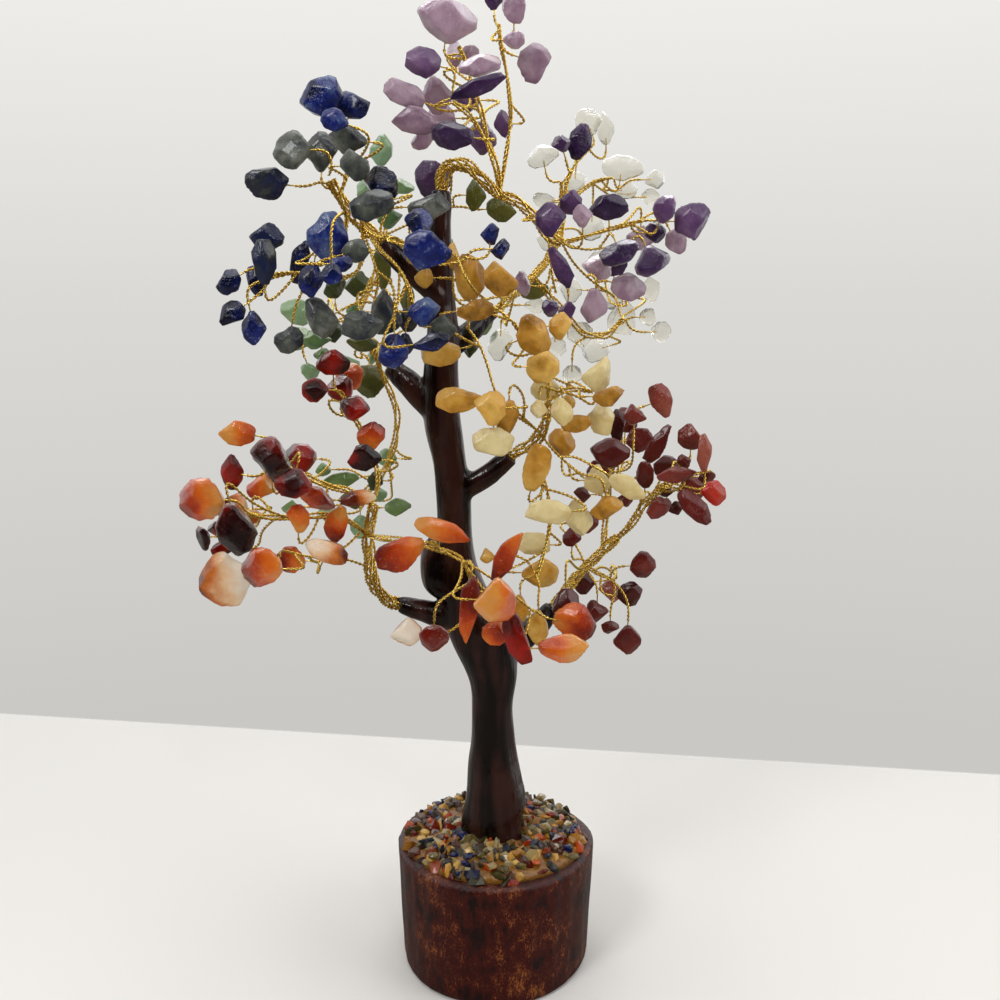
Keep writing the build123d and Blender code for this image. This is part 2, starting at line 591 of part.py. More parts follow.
def stone_at(centre, axes, half, draw):
    normals, offsets = stone_sides(half, draw)
    corners = corners_of(normals, offsets)
    world_normals = normals @ axes
    return Stone(
        centre, axes, half, world_normals, offsets + world_normals @ centre, corners @ axes + centre)


def moved_stone(stone, shift):
    return stone._replace(
        centre=stone.centre + shift,
        offsets=stone.offsets + stone.normals @ shift,
        corners=stone.corners + shift)


def stone_solid(stone):
    faces = []
    for normal, offset in zip(stone.normals, stone.offsets):
        ring = stone.corners[np.abs(stone.corners @ normal - offset) < 5 * SAME_PLACE]
        if len(ring) < 3:
            continue
        middle = ring.mean(axis=0)
        side = unit(ring[0] - middle)
        other = np.cross(normal, side)
        order = np.argsort(np.arctan2((ring - middle) @ other, (ring - middle) @ side))
        faces.append(Face(Wire.make_polygon([tuple(corner) for corner in ring[order]])))
    return Solid(Shell(faces))


def outside_by(stone, points):
    """How far points lie outside a stone, at least; negative inside."""
    return np.max(points @ stone.normals.T - stone.offsets, axis=1)


def apart(one, other, gap):
    if np.max(np.min(other.corners @ one.normals.T - one.offsets, axis=0)) >= gap:
        return True
    return np.max(np.min(one.corners @ other.normals.T - other.offsets, axis=0)) >= gap


# Chips on their wire loops

Chip = namedtuple("Chip", "branch tone stone outward hole tie loop")
LOOP_LEAD = 0.35
LOOP_RISE = 1.0
LOOP_REACH = LOOP_GAP + HOLE_FROM_EDGE


def chip_axes(slant, draw):
    lean = math.radians(slant)
    across = RIGHT * math.cos(lean) + UP * math.sin(lean)
    along = UP * math.cos(lean) - RIGHT * math.sin(lean)
    sway = math.tan(math.radians(draw.uniform(-CHIP_TILT, CHIP_TILT)))
    nod = math.tan(math.radians(draw.uniform(-CHIP_TILT, CHIP_TILT)))
    face = unit(TOWARDS_VIEWER + across * sway + along * nod)
    along = unit(along - face * (along @ face))
    return np.array([np.cross(along, face), along, face])


def loop_points(stone, outward, tie):
    """The wire's way from the twig's end along one face, through the hole and back along the other."""
    face = stone.axes[2]
    rise = stone.half[2] + LOOP_FACE_GAP + WIRE_RADIUS
    side_steps = [(0.0, WIRE_RADIUS), (LOOP_LEAD, WIRE_RADIUS), (LOOP_RISE, rise), (LOOP_REACH, rise)]
    way = side_steps + [(reach, -height) for reach, height in reversed(side_steps)]
    return [tie + outward * reach + face * height for reach, height in way]


def chip_at(branch, row, place, anchor, draw):
    tone = row[0]
    width, height, slant = row[4:]
    thickness = min(CHIP_THICKEST, max(CHIP_THINNEST, CHIP_THICKNESS_SHARE * min(width, height)))
    half = np.array([width, height, thickness]) / 2
    stone = stone_at(place, chip_axes(slant, draw), half, draw)
    away = unit(place - anchor)
    ends = [(axis, side) for axis in (0, 1) for side in (1, -1)]
    shares = half / max(width, height)
    axis, side = max(ends, key=lambda end: end[1] * (stone.axes[end[0]] @ away) + shares[end[0]])
    outward = stone.axes[axis] * side
    hole = place - outward * (half[axis] - HOLE_FROM_EDGE)
    tie = place - outward * (half[axis] + LOOP_GAP)
    return Chip(branch, tone, stone, outward, hole, tie, bend(loop_points(stone, outward, tie)))


def moved_chip(chip, shift):
    tie = chip.tie + shift
    stone = moved_stone(chip.stone, shift)
    loop = bend(loop_points(stone, chip.outward, tie))
    return chip._replace(stone=stone, hole=chip.hole + shift, tie=tie, loop=loop)


Wiring = namedtuple("Wiring", "branch samples radius")
Obstacles = namedtuple("Obstacles", "samples reach")
NEARBY = 26.0
DEPTH_STEP = 1.2
DEPTH_TRIES = 36


def obstacles_for(branch, wirings, own_gap, other_gap):
    """Centres of wood and wire, and how far from each the branch's pieces stay; no own gap leaves it out."""
    samples = []
    reach = []
    for wiring in wirings:
        gap = own_gap if wiring.branch == branch else other_gap
        if gap is None:
            continue
        samples.append(wiring.samples)
        reach.append(np.full(len(wiring.samples), wiring.radius + gap))
    return Obstacles(np.concatenate(samples), np.concatenate(reach))


def room_from(obstacles, samples, radius):
    """Room left between a wire's samples and the obstacles."""
    middle = samples.mean(axis=0)
    span = np.linalg.norm(samples - middle, axis=1).max()
    near = np.linalg.norm(obstacles.samples - middle, axis=1) < span + NEARBY
    if not near.any():
        return math.inf
    gaps = np.linalg.norm(samples[:, None] - obstacles.samples[near][None], axis=2) - obstacles.reach[near]
    return gaps.min() - radius


def chip_fits(chip, placed, obstacles):
    near = np.linalg.norm(obstacles.samples - chip.stone.centre, axis=1) < NEARBY
    if (outside_by(chip.stone, obstacles.samples[near]) - obstacles.reach[near]).min(initial=0) < 0:
        return False
    if room_from(obstacles, chip.loop.samples, WIRE_RADIUS) < 0:
        return False
    for other in placed:
        if np.linalg.norm(other.stone.centre - chip.stone.centre) > NEARBY:
            continue
        gap = CHIP_CLEARANCE if other.branch == chip.branch else BRANCH_CLEARANCE
        if not apart(chip.stone, other.stone, gap):
            return False
        if outside_by(other.stone, chip.loop.samples).min() < WIRE_RADIUS + gap:
            return False
        if outside_by(chip.stone, other.loop.samples).min() < WIRE_RADIUS + gap:
            return False
        reach = np.linalg.norm(chip.loop.samples[:, None] - other.loop.samples[None], axis=2).min()
        if reach < 2 * WIRE_RADIUS + gap:
            return False
    return True


def placed_chip(branch, row, limb, placed, obstacles, draw):
    """A chip at its place in the picture, moved in depth until it clears what is there already."""
    place = seen(row[1:4])
    anchor = limb.samples[np.argmin(np.linalg.norm(limb.samples - place, axis=1))]
    first = chip_at(branch, row, place, anchor, draw)
    for attempt in range(DEPTH_TRIES):
        steps = (attempt + 1) // 2 * (1 if attempt % 2 else -1)
        shift = seen((row[1], row[2], row[3] + steps * DEPTH_STEP)) - place
        chip = moved_chip(first, shift)
        if chip_fits(chip, placed, obstacles):
            return chip
    print("no clear place for", branch, row)
    return first


# Twigs from a limb to a chip

STATION_STEP = 3
STATION_TRIES = 7
STATION_CROWDING = 2.5
BOW_SHARES = [0.0, 0.16, -0.16, 0.32, -0.32, 0.5, -0.5]
ARRIVAL_SHARES = [0.35, 0.2, 0.55]
LEAVE_SHARE = 0.12
SHARPEST_TWIG = 0.7
ASKEW = UP + 0.3 * RIGHT


def twig_ways(chip, limb, used, draw):
    """Ways that a twig may take, from stations on its limb, the nearest and least crowded first."""
    stations = limb.samples[::STATION_STEP]
    cost = np.linalg.norm(stations - chip.tie, axis=1)
    for taken in used:
        cost = cost + STATION_CROWDING * (np.linalg.norm(stations - taken, axis=1) < STATION_CROWDING)
    twirl = draw.uniform(0, 2 * math.pi)
    bows = [(sway, nod) for sway in BOW_SHARES for nod in BOW_SHARES]
    bows.sort(key=lambda bow: math.hypot(*bow))
    nearest = stations[np.argsort(cost)[:STATION_TRIES]]
    for arrival in ARRIVAL_SHARES:
        for sway, nod in bows:
            for station in nearest:
                run = chip.tie - station
                length = np.linalg.norm(run)
                side = unit(np.cross(run, ASKEW))
                other = unit(np.cross(run, side))
                start = station + unit(run) * limb.radius
                arrive = chip.tie - chip.outward * arrival * length
                bow = side * (sway + LEAVE_SHARE * math.cos(twirl))
                bow = bow + other * (nod + LEAVE_SHARE * math.sin(twirl))
                middle = (station + arrive) / 2 + bow * length
                yield station, bend([start, middle, arrive, chip.tie])


def twig_room(way, chip, chips, obstacles, beaten):
    """Least room round a twig past the clearance that it needs, if that is more than the room to beat."""
    samples = way.samples
    room = room_from(obstacles, samples, TWIG_RADIUS)
    for other in chips:
        if room <= beaten:
            break
        if np.linalg.norm(samples - other.stone.centre, axis=1).min() > NEARBY / 2:
            continue
        gap = BRANCH_CLEARANCE if other.branch != chip.branch else WIRE_CLEARANCE
        room = min(room, outside_by(other.stone, samples).min() - TWIG_RADIUS - gap)
        if other is chip:
            continue
        reach = np.linalg.norm(samples[:, None] - other.loop.samples[None], axis=2).min()
        room = min(room, reach - TWIG_RADIUS - WIRE_RADIUS - gap)
    return room


def twig_to(chip, limb, chips, obstacles, used, draw):
    best = None
    best_room = -math.inf
    for station, way in twig_ways(chip, limb, used, draw):
        if way.sharpest < SHARPEST_TWIG:
            continue
        room = twig_room(way, chip, chips, obstacles, best_room)
        if room > best_room:
            best, best_room, best_station = way, room, station
        if room >= 0:
            break
    if best_room < 0:
        print("tight twig for", chip.branch, chip.tone, np.round(chip.stone.centre, 1), round(best_room, 2))
    used.append(best_station)
    return best


# Layout of the trunk, the limbs, the chips and the twigs

Stretch = namedtuple("Stretch", "samples radius")
Root = namedtuple("Root", "mouth way pivot radius")


def thick_samples(stations):
    """Wirings for a tapering branch of wood, one for each run between its stations."""
    runs = []
    for (start, start_radius), (end, end_radius) in zip(stations, stations[1:]):
        runs.append(Wiring("trunk", np.array(spaced(start, end)), max(start_radius, end_radius)))
    return runs


def limb_loads(limbs):
    """Twisted pairs that each limb carries: its own chips' and its children's."""
    loads = {limb.name: len(limb.chips) for limb in limbs}
    for limb in reversed(limbs):
        if limb.parent:
            loads[limb.parent] += loads[limb.name]
    return loads


def root_radius(branch):
    return bundle_radius(limb_loads(BRANCHES[branch])["stem"])


def stations_of(branch):
    """Stations of the stub that holds a branch; the top branch is held by the trunk itself."""
    rows = STUBS.get(branch, TRUNK)
    mouth_radius = root_radius(branch) + SOCKET_GAP + STUB_WALL
    stations = [(seen(row[:3]), row[3] / 2) for row in rows[:-1]]
    return stations + [(seen(rows[-1]), mouth_radius)]


def trunk_stations():
    return [(BASE_TOP, TRUNK_FOOT_DIAMETER / 2)] + stations_of(TOP_BRANCH)


def root_of(branch):
    stations = stations_of(branch)
    radius = root_radius(branch)
    mouth = stations[-1][0]
    way = unit(mouth - stations[-2][0])
    pivot = mouth + way * (ROOT_STANDS_OUT + PIVOT_GAP + radius)
    return Root(mouth, way, pivot, radius)


def limb_paths(limbs, root):
    paths = {}
    for limb in limbs:
        points = [seen(place) for place in limb.route]
        if limb.parent is None:
            start = root.pivot
        else:
            parent = next(other for other in limbs if other.name == limb.parent)
            samples = paths[limb.parent].samples
            leave = seen(parent.route[limb.leaves_at])
            start = samples[np.argmin(np.linalg.norm(samples - leave, axis=1))]
        paths[limb.name] = bend([start] + points)
    return paths


def layout():
    """Roots, limb paths, chips and twigs of every branch."""
    draw = Random(SEED)
    wirings = thick_samples(trunk_stations())
    for branch in STUBS:
        wirings.extend(thick_samples(stations_of(branch)))
    roots = {}
    paths = {}
    stretches = {}
    for branch, limbs in BRANCHES.items():
        loads = limb_loads(limbs)
        roots[branch] = root_of(branch)
        paths[branch] = limb_paths(limbs, roots[branch])
        for limb in limbs:
            stretch = Stretch(paths[branch][limb.name].samples, bundle_radius(loads[limb.name]))
            stretches[branch, limb.name] = stretch
            wirings.append(Wiring(branch, stretch.samples, stretch.radius))
    chips = []
    holders = []
    for branch, limbs in BRANCHES.items():
        obstacles = obstacles_for(branch, wirings, WIRE_CLEARANCE, BRANCH_CLEARANCE)
        for limb in limbs:
            for row in limb.chips:
                chips.append(placed_chip(branch, row, stretches[branch, limb.name], chips, obstacles, draw))
                holders.append((branch, limb.name))
    twigs = []
    used = {holder: [] for holder in holders}
    for branch in BRANCHES:
        obstacles = obstacles_for(branch, wirings, None, WIRE_CLEARANCE)
        for chip, holder in zip(chips, holders):
            if chip.branch != branch:
                continue
            way = twig_to(chip, stretches[holder], chips, obstacles, used[holder], draw)
            twigs.append((branch, way))
            wirings.append(Wiring(branch, way.samples, TWIG_RADIUS))
    return roots, paths, stretches, chips, twigs


# Solids of the base

def log_outline(diameter, height):
    points = []
    for step in range(24):
        turn = 2 * math.pi * step / 24
        radius = diameter / 2 + BASE_WANDER * (math.sin(3 * turn) + math.sin(5 * turn + 1.0)) / 2
        points.append((radius * math.cos(turn), radius * math.sin(turn), height))
    return Wire([Spline(points, periodic=True).edge()])


def upright(diameter, bottom, top):
    """A round bar on the tree's axis between two heights."""
    return Solid.make_cylinder(diameter / 2, top - bottom, Plane((0, 0, bottom)))


def base_log():
    heights = [0.0, BASE_EDGE, BASE_HEIGHT - BASE_EDGE, BASE_HEIGHT]
    diameters = [BASE_FOOT_DIAMETER - 2 * BASE_EDGE, BASE_FOOT_DIAMETER,
                 BASE_TOP_DIAMETER, BASE_TOP_DIAMETER - 2 * BASE_EDGE]
    outlines = [log_outline(diameter, height) for diameter, height in zip(diameters, heights)]
    log = Solid.make_loft(outlines, ruled=True)
    bore_bottom = BASE_HEIGHT - TENON_LENGTH - TENON_GAP
    return log - upright(TENON_DIAMETER + 2 * TENON_GAP, bore_bottom, BASE_HEIGHT)


BED_TOP = BASE_HEIGHT + BED_THICKNESS
BED_DIAMETER = BASE_TOP_DIAMETER - 2 * (BASE_EDGE + BASE_WANDER + BED_RIM)


def gravel_bed():
    bed = upright(BED_DIAMETER, BASE_HEIGHT, BED_TOP)
    return bed - upright(TRUNK_FOOT_DIAMETER + 2 * BED_TRUNK_GAP, BASE_HEIGHT, BED_TOP)


def gravel(draw):
    """Crushed stones in a sunflower pattern on the bed, sorted by kind, without those that would overlap."""
    heaps = {stone: [] for stone in GRAVEL_STONES}
    laid = []
    inner = TRUNK_FOOT_DIAMETER / 2 + GRAVEL_TRUNK_GAP + GRAVEL_LENGTH / 2
    outer = BED_DIAMETER / 2 - GRAVEL_LENGTH / 2
    for number in range(GRAVEL_COUNT):
        share = (number + 0.5) / GRAVEL_COUNT
        distance = math.sqrt(inner ** 2 + share * (outer ** 2 - inner ** 2))
        turn = number * GOLDEN_ANGLE
        half = np.array([GRAVEL_LENGTH, GRAVEL_LENGTH * draw.uniform(0.7, 0.9),
                         GRAVEL_HEIGHT * draw.uniform(0.6, 1.0)]) / 2
        spin = draw.uniform(0, math.pi)
        across = np.array([math.cos(spin), math.sin(spin), 0.0])
        axes = np.array([across, np.cross(UP, across), UP])
        centre = np.array([distance * math.cos(turn), distance * math.sin(turn), BED_TOP + half[2]])
        pebble = stone_at(centre, axes, half, draw)
        if all(apart(pebble, other, GRAVEL_APART) for other in laid):
            laid.append(pebble)
            heaps[draw.choice(GRAVEL_STONES)].append(stone_solid(pebble))
    return heaps


# Solids of the trunk and the wire roots

def tapering(stations, first_way):
    """A smooth tapering limb of wood through its stations."""
    sections = []
    way = first_way
    for index, (place, radius) in enumerate(stations):
        if index > 0:
            after = stations[min(len(stations) - 1, index + 1)][0]
            way = unit(after - stations[index - 1][0])
        sections.append(Wire.make_circle(radius, Plane(tuple(place), z_dir=tuple(way))))
    return Solid.make_loft(sections)


def socket_bar(root, gap, reach_out):
    start = root.mouth - root.way * (SOCKET_DEPTH + gap)
    length = SOCKET_DEPTH + gap + reach_out
    return Solid.make_cylinder(root.radius + gap, length, Plane(tuple(start), z_dir=tuple(root.way)))


def trunk(roots):
    wood = tapering(trunk_stations(), UP)
    wood = wood + upright(TENON_DIAMETER, BASE_HEIGHT - TENON_LENGTH, BASE_HEIGHT)
    for branch in STUBS:
        stations = stations_of(branch)
        wood = wood + tapering(stations, unit(stations[1][0] - stations[0][0]))
    for root in roots.values():
        wood = wood - socket_bar(root, SOCKET_GAP, ROOT_STANDS_OUT)
    return wood


def wire_root(root):
    return socket_bar(root, 0.0, ROOT_STANDS_OUT)


# Solids of a branch

def drilled(chip):
    thickness = 2 * chip.stone.half[2]
    face = chip.stone.axes[2]
    start = chip.hole - face * thickness
    hole = Solid.make_cylinder(HOLE_RADIUS, 2 * thickness, Plane(tuple(start), z_dir=tuple(face)))
    return stone_solid(chip.stone) - hole


def branch_wires(branch, roots, paths, stretches, twigs):
    wires = []
    for name, path in paths[branch].items():
        limb = tube(path, stretches[branch, name].radius)
        if name == "stem":
            ball = Solid.make_sphere(roots[branch].radius, Plane(tuple(roots[branch].pivot)))
            limb = limb + ball
        wires.append(limb)
    wires.extend(tube(way, TWIG_RADIUS) for owner, way in twigs if owner == branch)
    return wires


def write(name, pieces):
    solids = [solid for piece in pieces for solid in piece.solids()]
    export_step(Compound(children=solids), f"parts/{name}.step")


def main():
    os.makedirs("parts", exist_ok=True)
    roots, paths, stretches, chips, twigs = layout()
    write("base_log", [base_log()])
    write("gravel_bed", [gravel_bed()])
    for stone, pebbles in gravel(Random(SEED)).items():
        write(f"gravel_{stone}", pebbles)
    write("trunk", [trunk(roots)])
    for branch in BRANCHES:
        write(f"{branch}_wire_root", [wire_root(roots[branch])])
        write(f"{branch}_wires", branch_wires(branch, roots, paths, stretches, twigs))
        own = [chip for chip in chips if chip.branch == branch]
        write(f"{branch}_loops", [tube(chip.loop, WIRE_RADIUS) for chip in own])
        for tone in sorted({chip.tone for chip in own}):
            write(f"{branch}_chips_{tone}", [drilled(chip) for chip in own if chip.tone == tone])
    for branch, root in roots.items():
        print(branch, "pivot", np.round(root.pivot, 3), "radius", round(root.radius, 3))


if __name__ == "__main__":
    main()
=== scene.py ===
import json
import math
from random import Random

import bmesh
import bpy
import numpy as np
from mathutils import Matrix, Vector, noise


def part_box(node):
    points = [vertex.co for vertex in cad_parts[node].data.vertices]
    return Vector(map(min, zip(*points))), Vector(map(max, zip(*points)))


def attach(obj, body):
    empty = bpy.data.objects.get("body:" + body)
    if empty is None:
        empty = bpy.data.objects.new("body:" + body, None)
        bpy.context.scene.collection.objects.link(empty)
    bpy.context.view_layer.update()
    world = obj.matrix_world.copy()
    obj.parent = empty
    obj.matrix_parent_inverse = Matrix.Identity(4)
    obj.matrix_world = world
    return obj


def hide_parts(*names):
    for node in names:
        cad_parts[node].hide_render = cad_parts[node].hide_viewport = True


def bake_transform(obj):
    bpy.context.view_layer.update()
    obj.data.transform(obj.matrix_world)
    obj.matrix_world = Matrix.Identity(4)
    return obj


# Gemstone tree: tumbled chips on twisted gold wire, a lacquered trunk and a bark log with crushed stone.

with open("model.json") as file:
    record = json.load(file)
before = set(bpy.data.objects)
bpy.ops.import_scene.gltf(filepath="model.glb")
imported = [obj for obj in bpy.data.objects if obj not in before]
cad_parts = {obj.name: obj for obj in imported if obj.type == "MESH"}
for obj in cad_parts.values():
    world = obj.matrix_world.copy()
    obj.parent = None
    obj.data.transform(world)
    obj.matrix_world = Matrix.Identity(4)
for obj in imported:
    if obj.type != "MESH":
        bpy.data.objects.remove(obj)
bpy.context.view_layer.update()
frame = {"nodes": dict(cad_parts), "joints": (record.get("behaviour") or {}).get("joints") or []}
nodes = frame["nodes"]

TRUNK_BODY = "base_and_trunk"
BRANCHES = ["carnelian", "jasper", "yellow", "green", "quartz", "lapis", "amethyst"]
MM = 0.001
SEED = 7


# Shader building

def linear(hex_colour):
    """A display colour as linear red, green, blue and full alpha."""
    parts = [int(hex_colour[at:at + 2], 16) / 255 for at in (1, 3, 5)]
    return tuple(p / 12.92 if p <= 0.04045 else ((p + 0.055) / 1.055) ** 2.4 for p in parts) + (1.0,)


class Value:
    """A shader socket that takes part in Python sums."""

    def __init__(self, finish, socket):
        self.finish = finish
        self.socket = socket

    def math(self, operation, first, second):
        return self.finish.node("ShaderNodeMath", {"operation": operation}, {0: first, 1: second})

    def __add__(self, other):
        return self.math("ADD", self, other)

    def __sub__(self, other):
        return self.math("SUBTRACT", self, other)

    def __rsub__(self, other):
        return self.math("SUBTRACT", other, self)

    def __mul__(self, other):
        return self.math("MULTIPLY", self, other)

    __radd__ = __add__
    __rmul__ = __mul__


class Finish:
    """A material, or the world's shader, built from expressions."""

    def __init__(self, owner):
        owner.use_nodes = True
        self.owner = owner
        self.nodes = owner.node_tree.nodes
        self.links = owner.node_tree.links

    def node(self, kind, settings, sockets, output=0):
        made = self.nodes.new(kind)
        for name, value in settings.items():
            if name == "stops":
                self.set_stops(made.color_ramp, value)
            else:
                setattr(made, name, value)
        self.feed(made, sockets)
        return Value(self, made.outputs[output])

    def feed(self, made, sockets):
        for key, value in sockets.items():
            if isinstance(value, Value):
                self.links.new(value.socket, made.inputs[key])
            else:
                made.inputs[key].default_value = value

    def set_stops(self, ramp, stops):
        while len(ramp.elements) < len(stops):
            ramp.elements.new(1.0)
        for element, (place, colour) in zip(ramp.elements, stops):
            element.position = place
            element.color = colour

    def surface(self, sockets):
        self.feed(self.nodes["Principled BSDF"], sockets)
        return self.owner

    def place(self):
        return self.node("ShaderNodeTexCoord", {}, {}, "Object")

    def parts(self, vector):
        split = self.node("ShaderNodeSeparateXYZ", {}, {"Vector": vector}).socket.node
        return [Value(self, output) for output in split.outputs]

    def ray(self, kind):
        return self.node("ShaderNodeLightPath", {}, {}, kind)

    def attribute(self, name):
        return self.node("ShaderNodeAttribute", {"attribute_name": name}, {}, "Fac")

    def stretched(self, place, scale):
        return self.node("ShaderNodeMapping", {}, {"Vector": place, "Scale": scale})

    def clouds(self, place, scale, detail=3.0, roughness=0.55):
        sockets = {"Vector": place, "Scale": scale, "Detail": detail, "Roughness": roughness}
        return self.node("ShaderNodeTexNoise", {}, sockets, "Fac")

    def ramp(self, value, stops):
        settings = {"stops": [(place, linear(colour)) for place, colour in stops]}
        return self.node("ShaderNodeValToRGB", settings, {"Fac": value}, "Color")

    def between(self, share, low, high):
        return share * (high - low) + low

    def mask(self, value, low, high):
        settings = {"interpolation_type": "SMOOTHSTEP"}
        return self.node("ShaderNodeMapRange", settings, {"Value": value, 1: low, 2: high}, "Result")

    def mixed(self, share, first, second):
        settings = {"data_type": "RGBA"}
        return self.node("ShaderNodeMix", settings, {"Factor": share, 6: first, 7: second}, 2)

    def bump(self, height, strength, distance):
        sockets = {"Height": height, "Strength": strength, "Distance": distance}
        return self.node("ShaderNodeBump", {}, sockets, "Normal")


def new_finish(name):
    return Finish(bpy.data.materials.new(name))


# Camera, table and light

EYE = (0.0015, -0.3078, 0.2007)
EYE_PITCH = 11.3
FOCAL_PIXELS = 1123.0
PICTURE_PIXELS = 1000
SENSOR_WIDTH = 36.0
NEAREST_SEEN = 0.01
TABLE_EDGE_AT = 0.1517
TABLE_EDGE_SLOPE = -0.15
TABLE_EDGE_BLUR = 0.002
TABLE_ROUGHNESS = 0.5
TABLE_SHINE = 0.2
TABLE_WHITE = "#eeebe6"
# Grey the table is painted where glossy rays see it: painted shade in its reflections on the stones, wire and
# trunk
TABLE_PAINTED_DARK_IN_REFLECTIONS = "#807d76"
FLOOR_HALF = 1.2
FLOOR_FADE_FROM = 0.45
FLOOR_FADE_TO = 1.1
WALL_CLIMB = 1.4
WALL_LEVEL = 0.5
WALL_LOW = "#cac8c4"
WALL_MIDDLE = "#dad9d5"
WALL_HIGH = "#eeede9"
WALL_STOPS = [(0.0, WALL_LOW), (0.47, WALL_MIDDLE), (0.8, WALL_HIGH)]
ROOM_ABOVE = 0.6
ROOM_BEHIND = 0.4
ROOM_ASIDE = 0.3
ROOM_LEVEL = 0.45
ROOM_DARK = "#121110"
ROOM_LIGHT = "#ffffff"
ROOM_STOPS = [(0.46, ROOM_DARK), (0.7, WALL_LOW), (0.88, ROOM_LIGHT)]
SOFT_WHITE = (1.0, 1.0, 1.0, 1.0)
SOFT_LIGHT = 0.44
LAMP_AIM = Vector((0.0, 0.0, 0.15))
LAMPS = {
    "overhead": dict(place=(0.0, 0.15, 1.25), size=0.8, power=5.4),
    "key": dict(place=(-0.55, -0.75, 0.95), size=0.3, power=4.4),
    "fill": dict(place=(0.8, -0.35, 0.6), size=0.6, power=2.2),
    "glint": dict(place=(0.25, -0.9, 0.8), size=0.1, power=0.9),
}


def make_camera():
    lens = bpy.data.cameras.new("camera")
    lens.sensor_width = SENSOR_WIDTH
    lens.lens = FOCAL_PIXELS * SENSOR_WIDTH / PICTURE_PIXELS
    lens.clip_start = NEAREST_SEEN
    camera = bpy.data.objects.new("camera", lens)
    camera.location = EYE
    camera.rotation_euler = (math.radians(90 - EYE_PITCH), 0, 0)
    bpy.context.scene.collection.objects.link(camera)
    bpy.context.scene.camera = camera


def make_world():
    """A pale wall where it is seen, a room that is dark in front where it is mirrored, and soft light."""
    world = bpy.data.worlds.new("studio")
    bpy.context.scene.world = world
    finish = Finish(world)
    across, back, height = finish.parts(finish.node("ShaderNodeTexCoord", {}, {}, "Generated"))
    wall = finish.ramp(height * WALL_CLIMB + WALL_LEVEL, WALL_STOPS)
    lightness = height * ROOM_ABOVE + back * ROOM_BEHIND + across * across * ROOM_ASIDE + ROOM_LEVEL
    room = finish.ramp(lightness, ROOM_STOPS)
    shown = finish.node("ShaderNodeMath", {"operation": "MAXIMUM"}, {
        0: finish.ray("Is Camera Ray"), 1: finish.ray("Is Transmission Ray")})
    seen_wall = finish.node("ShaderNodeBackground", {}, {"Color": wall, "Strength": 1.0})
    mirrored = finish.node("ShaderNodeBackground", {}, {"Color": room, "Strength": 1.0})
    soft_light = finish.node("ShaderNodeBackground", {}, {"Color": SOFT_WHITE, "Strength": SOFT_LIGHT})
    shining = finish.ray("Is Glossy Ray")
    lit = finish.node("ShaderNodeMixShader", {}, {"Fac": shining, 1: soft_light, 2: mirrored})
    both = finish.node("ShaderNodeMixShader", {}, {"Fac": shown, 1: lit, 2: seen_wall})
    finish.links.new(both.socket, finish.nodes["World Output"].inputs["Surface"])


def make_lamp(name, place, size, power):
    light = bpy.data.lights.new(name, "AREA")
    light.size = size
    light.energy = power
    lamp = bpy.data.objects.new(name, light)
    lamp.location = place
    aim = LAMP_AIM - Vector(place)
    lamp.rotation_euler = aim.to_track_quat("-Z", "Y").to_euler()
    bpy.context.scene.collection.objects.link(lamp)


def table_finish():
    finish = new_finish("table_to_its_edge")
    across, back, _ = finish.parts(finish.place())
    depth = back - across * TABLE_EDGE_SLOPE
    past_edge = finish.mask(depth, TABLE_EDGE_AT, TABLE_EDGE_AT + TABLE_EDGE_BLUR)
    far = finish.mask(across * across + back * back, FLOOR_FADE_FROM ** 2, FLOOR_FADE_TO ** 2)
    mirrored = finish.ray("Is Glossy Ray")
    return finish.surface({
        # White where the camera and light see the table, a painted darker grey in glossy reflections: painted
        # shade in those reflections
        "Base Color": finish.mixed(mirrored, linear(TABLE_WHITE), linear(TABLE_PAINTED_DARK_IN_REFLECTIONS)),
        "Roughness": TABLE_ROUGHNESS,
        "Specular IOR Level": TABLE_SHINE,
        "Alpha": (1.0 - past_edge) * (1.0 - far),
    })


def make_floor():
    corners = [(-1, -1, 0), (1, -1, 0), (1, 1, 0), (-1, 1, 0)]
    mesh = bpy.data.meshes.new("table")
    mesh.from_pydata([tuple(c * FLOOR_HALF for c in corner) for corner in corners], [], [(0, 1, 2, 3)])
    mesh.materials.append(table_finish())
    table = bpy.data.objects.new("table", mesh)
    bpy.context.scene.collection.objects.link(table)


# Finishes

GOLD_LIGHT = "#ffe680"
GOLD_DEEP = "#dcaa3c"
GOLD_WEAR_SCALE = 420.0
GOLD_ROUGHNESS = (0.16, 0.32)
# Lighter brown and near-black of the lacquer, laid in vertical bands that are partly its own uneven colour
# and partly painted reflection streaks
TRUNK_BROWN = "#301813"
TRUNK_DARK = "#0a0302"
TRUNK_STREAK_STRETCH = (1.0, 1.0, 0.15)
TRUNK_STREAK_SCALE = 260.0
TRUNK_PATCH_SCALE = 60.0
TRUNK_RUN_AND_SHEEN_STRETCH = (1.0, 1.0, 0.1)
TRUNK_RUN_AND_SHEEN_SCALE = 150.0
TRUNK_RUN_AND_SHEEN_BAND = (0.44, 0.6)
TRUNK_ROUGHNESS = (0.06, 0.26)
TRUNK_SHINE = 0.34
TRUNK_BUMP = (0.7, 0.0009)
BARK_RED = "#390b05"
BARK_DARK = "#190706"
BARK_FLECK = "#814a20"
BARK_TAN = "#5a2710"
BARK_STRETCH = (1.0, 1.0, 0.5)
BARK_PATCH_SCALE = 95.0
BARK_BLOTCH_SCALE = 420.0
BARK_FLECK_SCALE = 2500.0
BARK_DARKENED = (0.48, 0.36)
BARK_TANNED = (0.67, 0.74)
BARK_FLECKED = (0.735, 0.8)
BARK_ROUGHNESS = (0.1, 0.32)
BARK_SHINE = 0.3
BARK_BUMP = (0.55, 0.0008)
GLUE_AMBER = "#a8742e"
GLUE_DARK = "#4a2c10"
GLUE_SPECKLE_SCALE = 700.0
